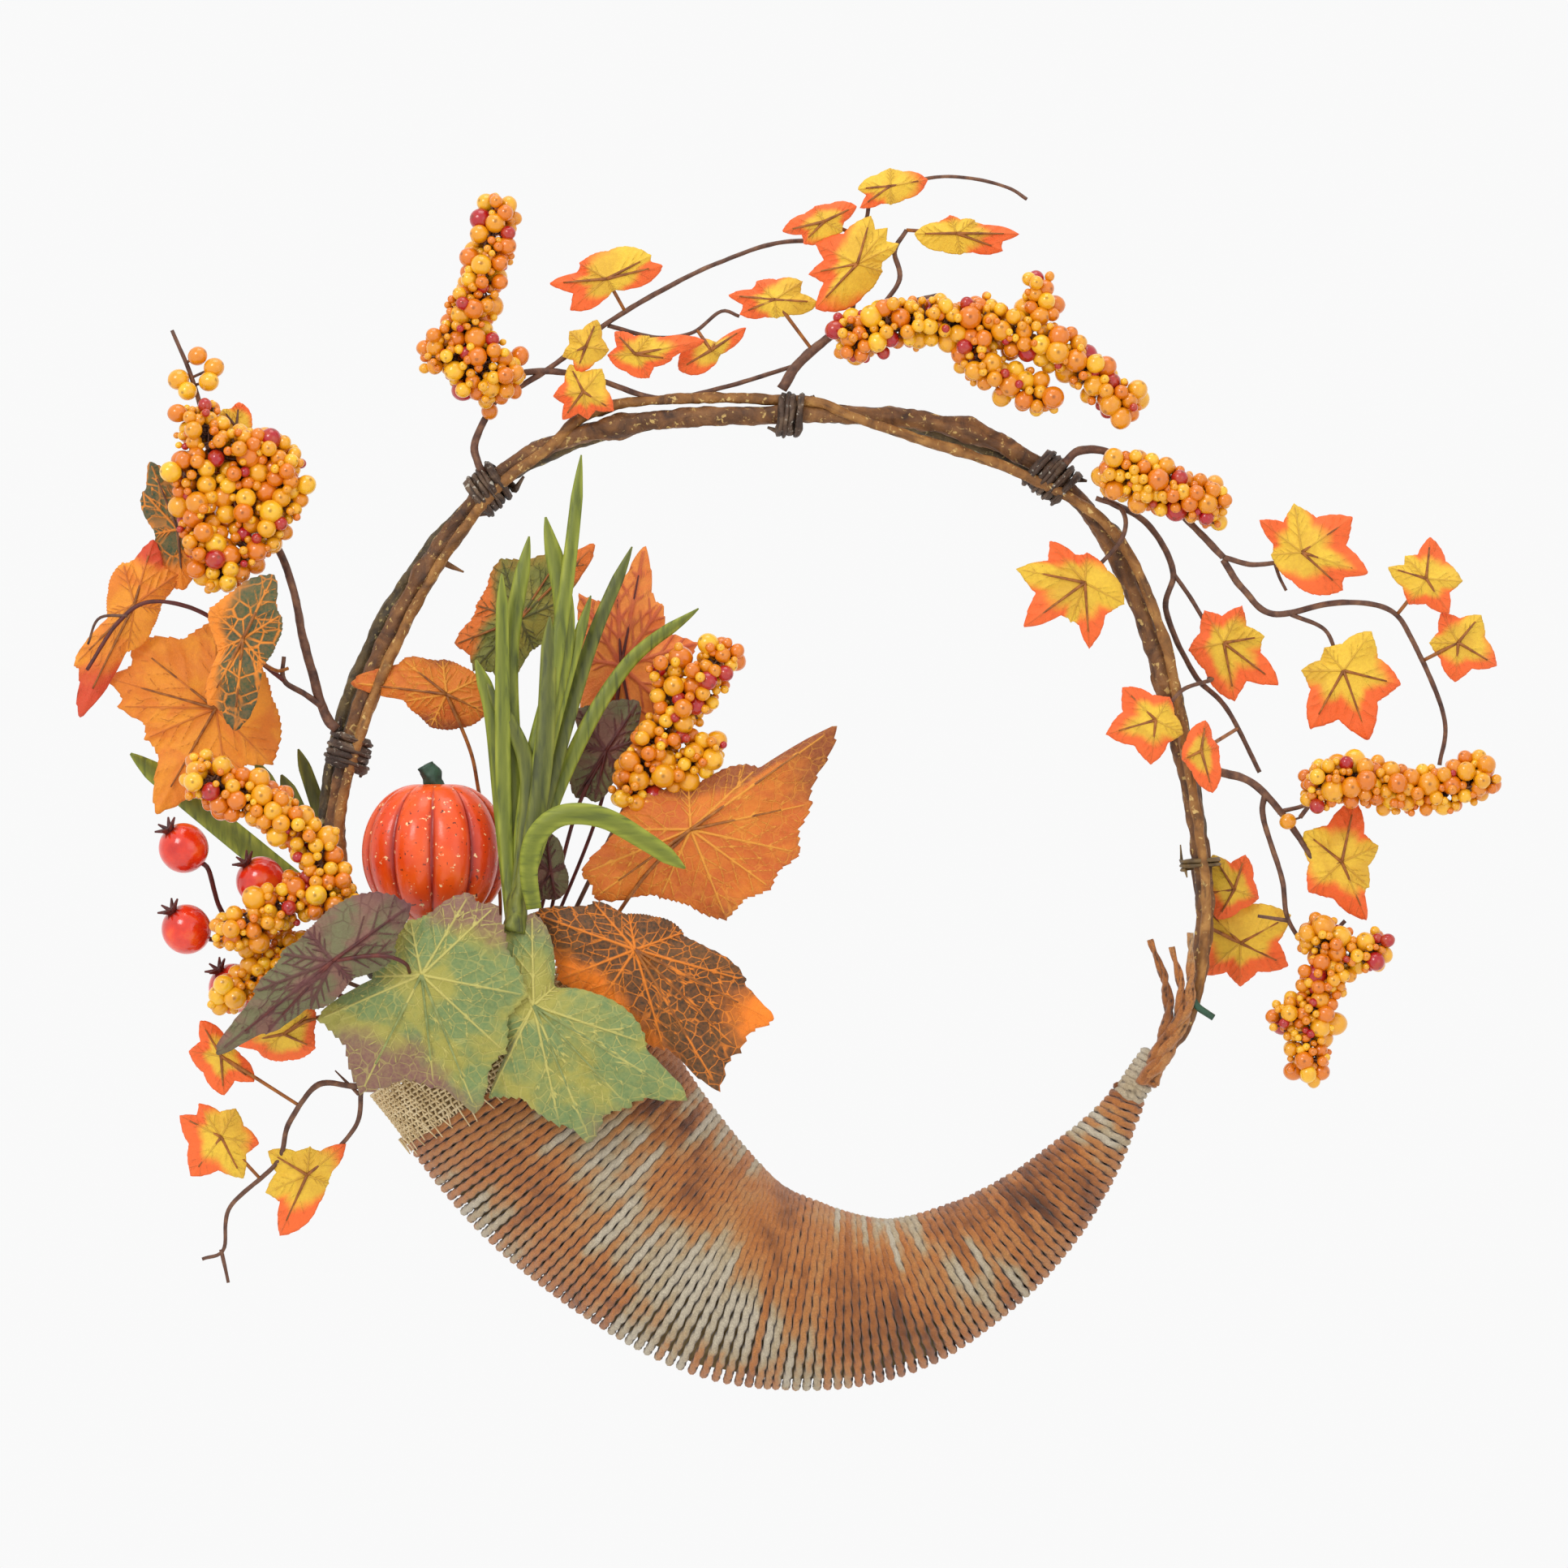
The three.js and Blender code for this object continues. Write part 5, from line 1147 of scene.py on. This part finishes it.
def make_pumpkin():
    low, high = [np.array(corner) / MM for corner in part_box("pumpkin_body")]
    centre, half = (low + high) / 2, (high - low) / 2
    polar = np.linspace(0.001, math.pi - 0.001, PUMPKIN_ROWS)[:, None]
    angle = np.arange(PUMPKIN_SIDES)[None, :] * 2 * math.pi / PUMPKIN_SIDES
    flank = np.sin(polar)
    groove = 1 - np.abs(np.cos(angle * PUMPKIN_RIBS / 2)) ** 0.55
    reach = half[0] * flank * (1 - 0.13 * groove * flank ** 0.6)
    rise = half[2] * PUMPKIN_STRETCH * np.cos(polar) * np.ones_like(angle)
    dimple = 5 * (1 - flank) ** 2 * np.sign(np.cos(polar))
    points = np.stack([reach * np.cos(angle), reach * np.sin(angle), rise - dimple], axis=2) + centre
    shape = Shape()
    # painted shade: a value that is high in the grooves between the ribs and fades towards the stem and the
    # base
    shape.add(points, (0.5, groove * flank, 0), ring_faces(PUMPKIN_ROWS, PUMPKIN_SIDES))
    shape.piece("pumpkin_body_skin", ["pumpkin"], "pumpkin_body")
    stem = Shape()
    stub = spline([(-141, -24, -162), (-142, -25, -154), (-146, -26, -146)], 0.8)
    tube(stem, stub, 4.9, 3.6, 16, rough=0.35)
    stem.piece("pumpkin_stem_stub", ["pumpkin_stem"], "pumpkin_stem")
    pick = Shape()
    wire = spline([(-142, -20, -216), (-141, -14, -228), (-130, -8, -246), (-118, -4, -262)], 1.5)
    tube(pick, wire, 1.4, 1.4, 10)
    pick.piece("pumpkin_pick_wire", ["wire"], "pumpkin_pick")


HIPS = {"rose_hip_upper": (-246, -44, -181), "rose_hip_middle": (-245, -42, -215),
        "rose_hip_inner": (-214, -40, -195), "rose_hip_low": (-226, -34, -240)}
HIP_RADIUS, SEPALS = 10.3, 6
HIP_STALKS = [[(-239, -41, -187), (-236, -40, -190), (-232, -32, -206), (-222, -22, -222),
               (-196, -16, -238), (-160, -8, -252)],
              [(-239, -38, -218), (-236, -36, -219), (-230, -27, -221), (-216, -20, -227)],
              [(-214, -37, -202), (-214, -34, -206), (-212, -26, -216), (-206, -18, -233)],
              [(-220, -28, -240), (-212, -22, -238), (-204, -18, -235)]]


def make_hips():
    crown = np.array([-0.55, -0.4, 0.73])
    points, faces = ball_template(5)
    along = points @ crown
    swell = 1 + 0.05 * np.clip(along, 0, 1) - 0.12 * np.clip(along - 0.85, 0, 1)
    crowned = np.clip(along - 0.8, 0, 0.2) * 4
    side = np.cross(crown, (0, 0, 1))
    side = side / np.linalg.norm(side)
    over = np.cross(crown, side)
    for number, (node, centre) in enumerate(HIPS.items()):
        shape = Shape()
        shape.add(np.array(centre) + HIP_RADIUS * points * swell[:, None], (0.5, crowned, 0), faces)
        root = np.array(centre) + crown * 9.2
        for sepal in range(SEPALS):
            turn = sepal * 2 * math.pi / SEPALS + number
            out = side * math.cos(turn) + over * math.sin(turn)
            path = spline([root, root + crown * 2.2 + out * 1.8, root + crown * 4.6 + out * 5.2], 0.6)
            tube(shape, path, 1.5, 0.4, 7, slot=1)
        shape.piece(node + "_fruit", ["hip", "claw"], node)
    shape = Shape()
    for route in HIP_STALKS:
        tube(shape, spline(route, 1.5), 1.1, 1.0, 9, rough=0.2)
    shape.piece("rose_hip_stems_twig", ["claw"], "rose_hip_stems")


GRASS_THICK = 0.5
KEEL_COLUMNS = 7


def grass_strip(shape, route, width, slot=0, fold=0.24, point=0.09):
    """A folded paper blade along a route: a keel down its middle, and a point at its end."""
    path = spline(route, 2.2)
    tangents = directions(path)
    across = np.cross(tangents, (0, 1, 0))
    across = across / np.linalg.norm(across, axis=1)[:, None]
    rows, columns = len(path), KEEL_COLUMNS
    share = np.linspace(0, 1, rows)
    half = width / 2 * np.clip((1 - share) / point, 0.04, 1) ** 0.6 * (0.7 + 0.3 * np.sin(math.pi * share))
    spread = np.linspace(-1, 1, columns)
    points = np.zeros((2, rows, columns, 3))
    for side in (0, 1):
        for k, place in enumerate(spread):
            points[side, :, k] = path + across * (half * place)[:, None]
            points[side, :, k, 1] += fold * half * abs(place) + side * GRASS_THICK
    per = rows * columns
    faces = []
    for r in range(rows - 1):
        for k in range(columns - 1):
            a = r * columns + k
            faces.append((a, a + columns, a + columns + 1, a + 1))
            faces.append((per + a, per + a + 1, per + a + columns + 1, per + a + columns))
        a, b = r * columns, r * columns + columns - 1
        faces.append((a, per + a, per + a + columns, a + columns))
        faces.append((b + columns, per + b + columns, per + b, b))
    for a in range(columns - 1):
        faces.append((a, a + 1, per + a + 1, per + a))
        b = (rows - 1) * columns + a
        faces.append((b + 1, b, per + b, per + b + 1))
    shape.add(points, (0.5, 1.0, np.tile(np.abs(spread), rows * 2)), faces, slot)


GREEN, OLIVE = 0, 1
GRASS_ROOT = (-108, -56, -214)
# Each blade of the bundle: (the route after its root, width, paint).
BUNDLE = [([(-98, -50, -150), (-86, -43, -70), (-80, -38, -16)], 6.5, GREEN),
          ([(-100, -48, -150), (-87, -42, -90), (-95, -37, -42)], 9.5, GREEN),
          ([(-108, -46, -160), (-110, -40, -100), (-102, -34, -50)], 8, GREEN),
          ([(-112, -46, -170), (-117, -44, -125), (-124, -42, -102)], 8, GREEN),
          ([(-92, -44, -150), (-76, -34, -95), (-59, -25, -54)], 6.5, OLIVE),
          ([(-88, -40, -152), (-62, -30, -105), (-31, -23, -80)], 6.5, GREEN),
          ([(-96, -52, -150), (-93, -44, -84)], 8, OLIVE),
          ([(-112, -50, -160), (-113, -46, -66)], 6.5, GREEN),
          ([(-94, -46, -140), (-76, -38, -75)], 6, GREEN),
          ([(-102, -50, -150), (-119, -46, -112)], 7, OLIVE)]


CURL = [(-99, -60, -206), (-101, -66, -190), (-98, -68, -176), (-87, -70, -167), (-70, -70, -168),
        (-52, -68, -178), (-36, -66, -189)]
LEFT_BLADES = [([(-205, 14, -196), (-240, 13, -168), (-274, 12, -141)], 11, GREEN),
               ([(-196, 17, -190), (-210, 16, -165), (-221, 15, -144)], 9, GREEN),
               ([(-186, 20, -190), (-194, 20, -165), (-203, 20, -139)], 7, OLIVE),
               ([(-192, 18, -190), (-210, 17, -150)], 9, OLIVE)]


def tuft(node, root, blades, sheath, start, end, sides):
    """Blades that rise from one root, and the sheath that holds them there."""
    shape = Shape()
    for route, width, paint in blades:
        grass_strip(shape, [root, *route], width, paint)
    tube(shape, spline(sheath, 1.2), start, end, sides, rough=0.3, slot=OLIVE)
    shape.piece(node + "_blades", ["grass", "olive"], node)


def make_grass():
    tuft("grass_bundle", GRASS_ROOT, BUNDLE, [(-108, -57, -216), (-106, -54, -205), (-103, -50, -190)],
         5, 4.2, 14)
    curl = Shape()
    grass_strip(curl, CURL, 9)
    curl.piece("grass_curl_blade", ["curl"], "grass_curl")
    tuft("grass_left", (-171, 17, -220), LEFT_BLADES, [(-170, 16, -224), (-176, 15, -212)], 4, 3.6, 12)


# ---------------------------------------------------------------- assembly
PAINTS = make_paints()
set_stage()
make_vines()
make_ties()
make_twine()
make_tail()
make_burlap()
make_pumpkin()
make_hips()
make_grass()
make_mouth_leaves()
make_dark_leaf()
make_sprays()
for order, berry_node in enumerate(BERRY_NODES):
    cluster(berry_node, 100 + order)
for kept, paint_name in (("horn_core", "card"), ("foam_block", "foam")):
    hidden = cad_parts[kept].data
    hidden.materials.clear()
    hidden.materials.append(PAINTS[paint_name])
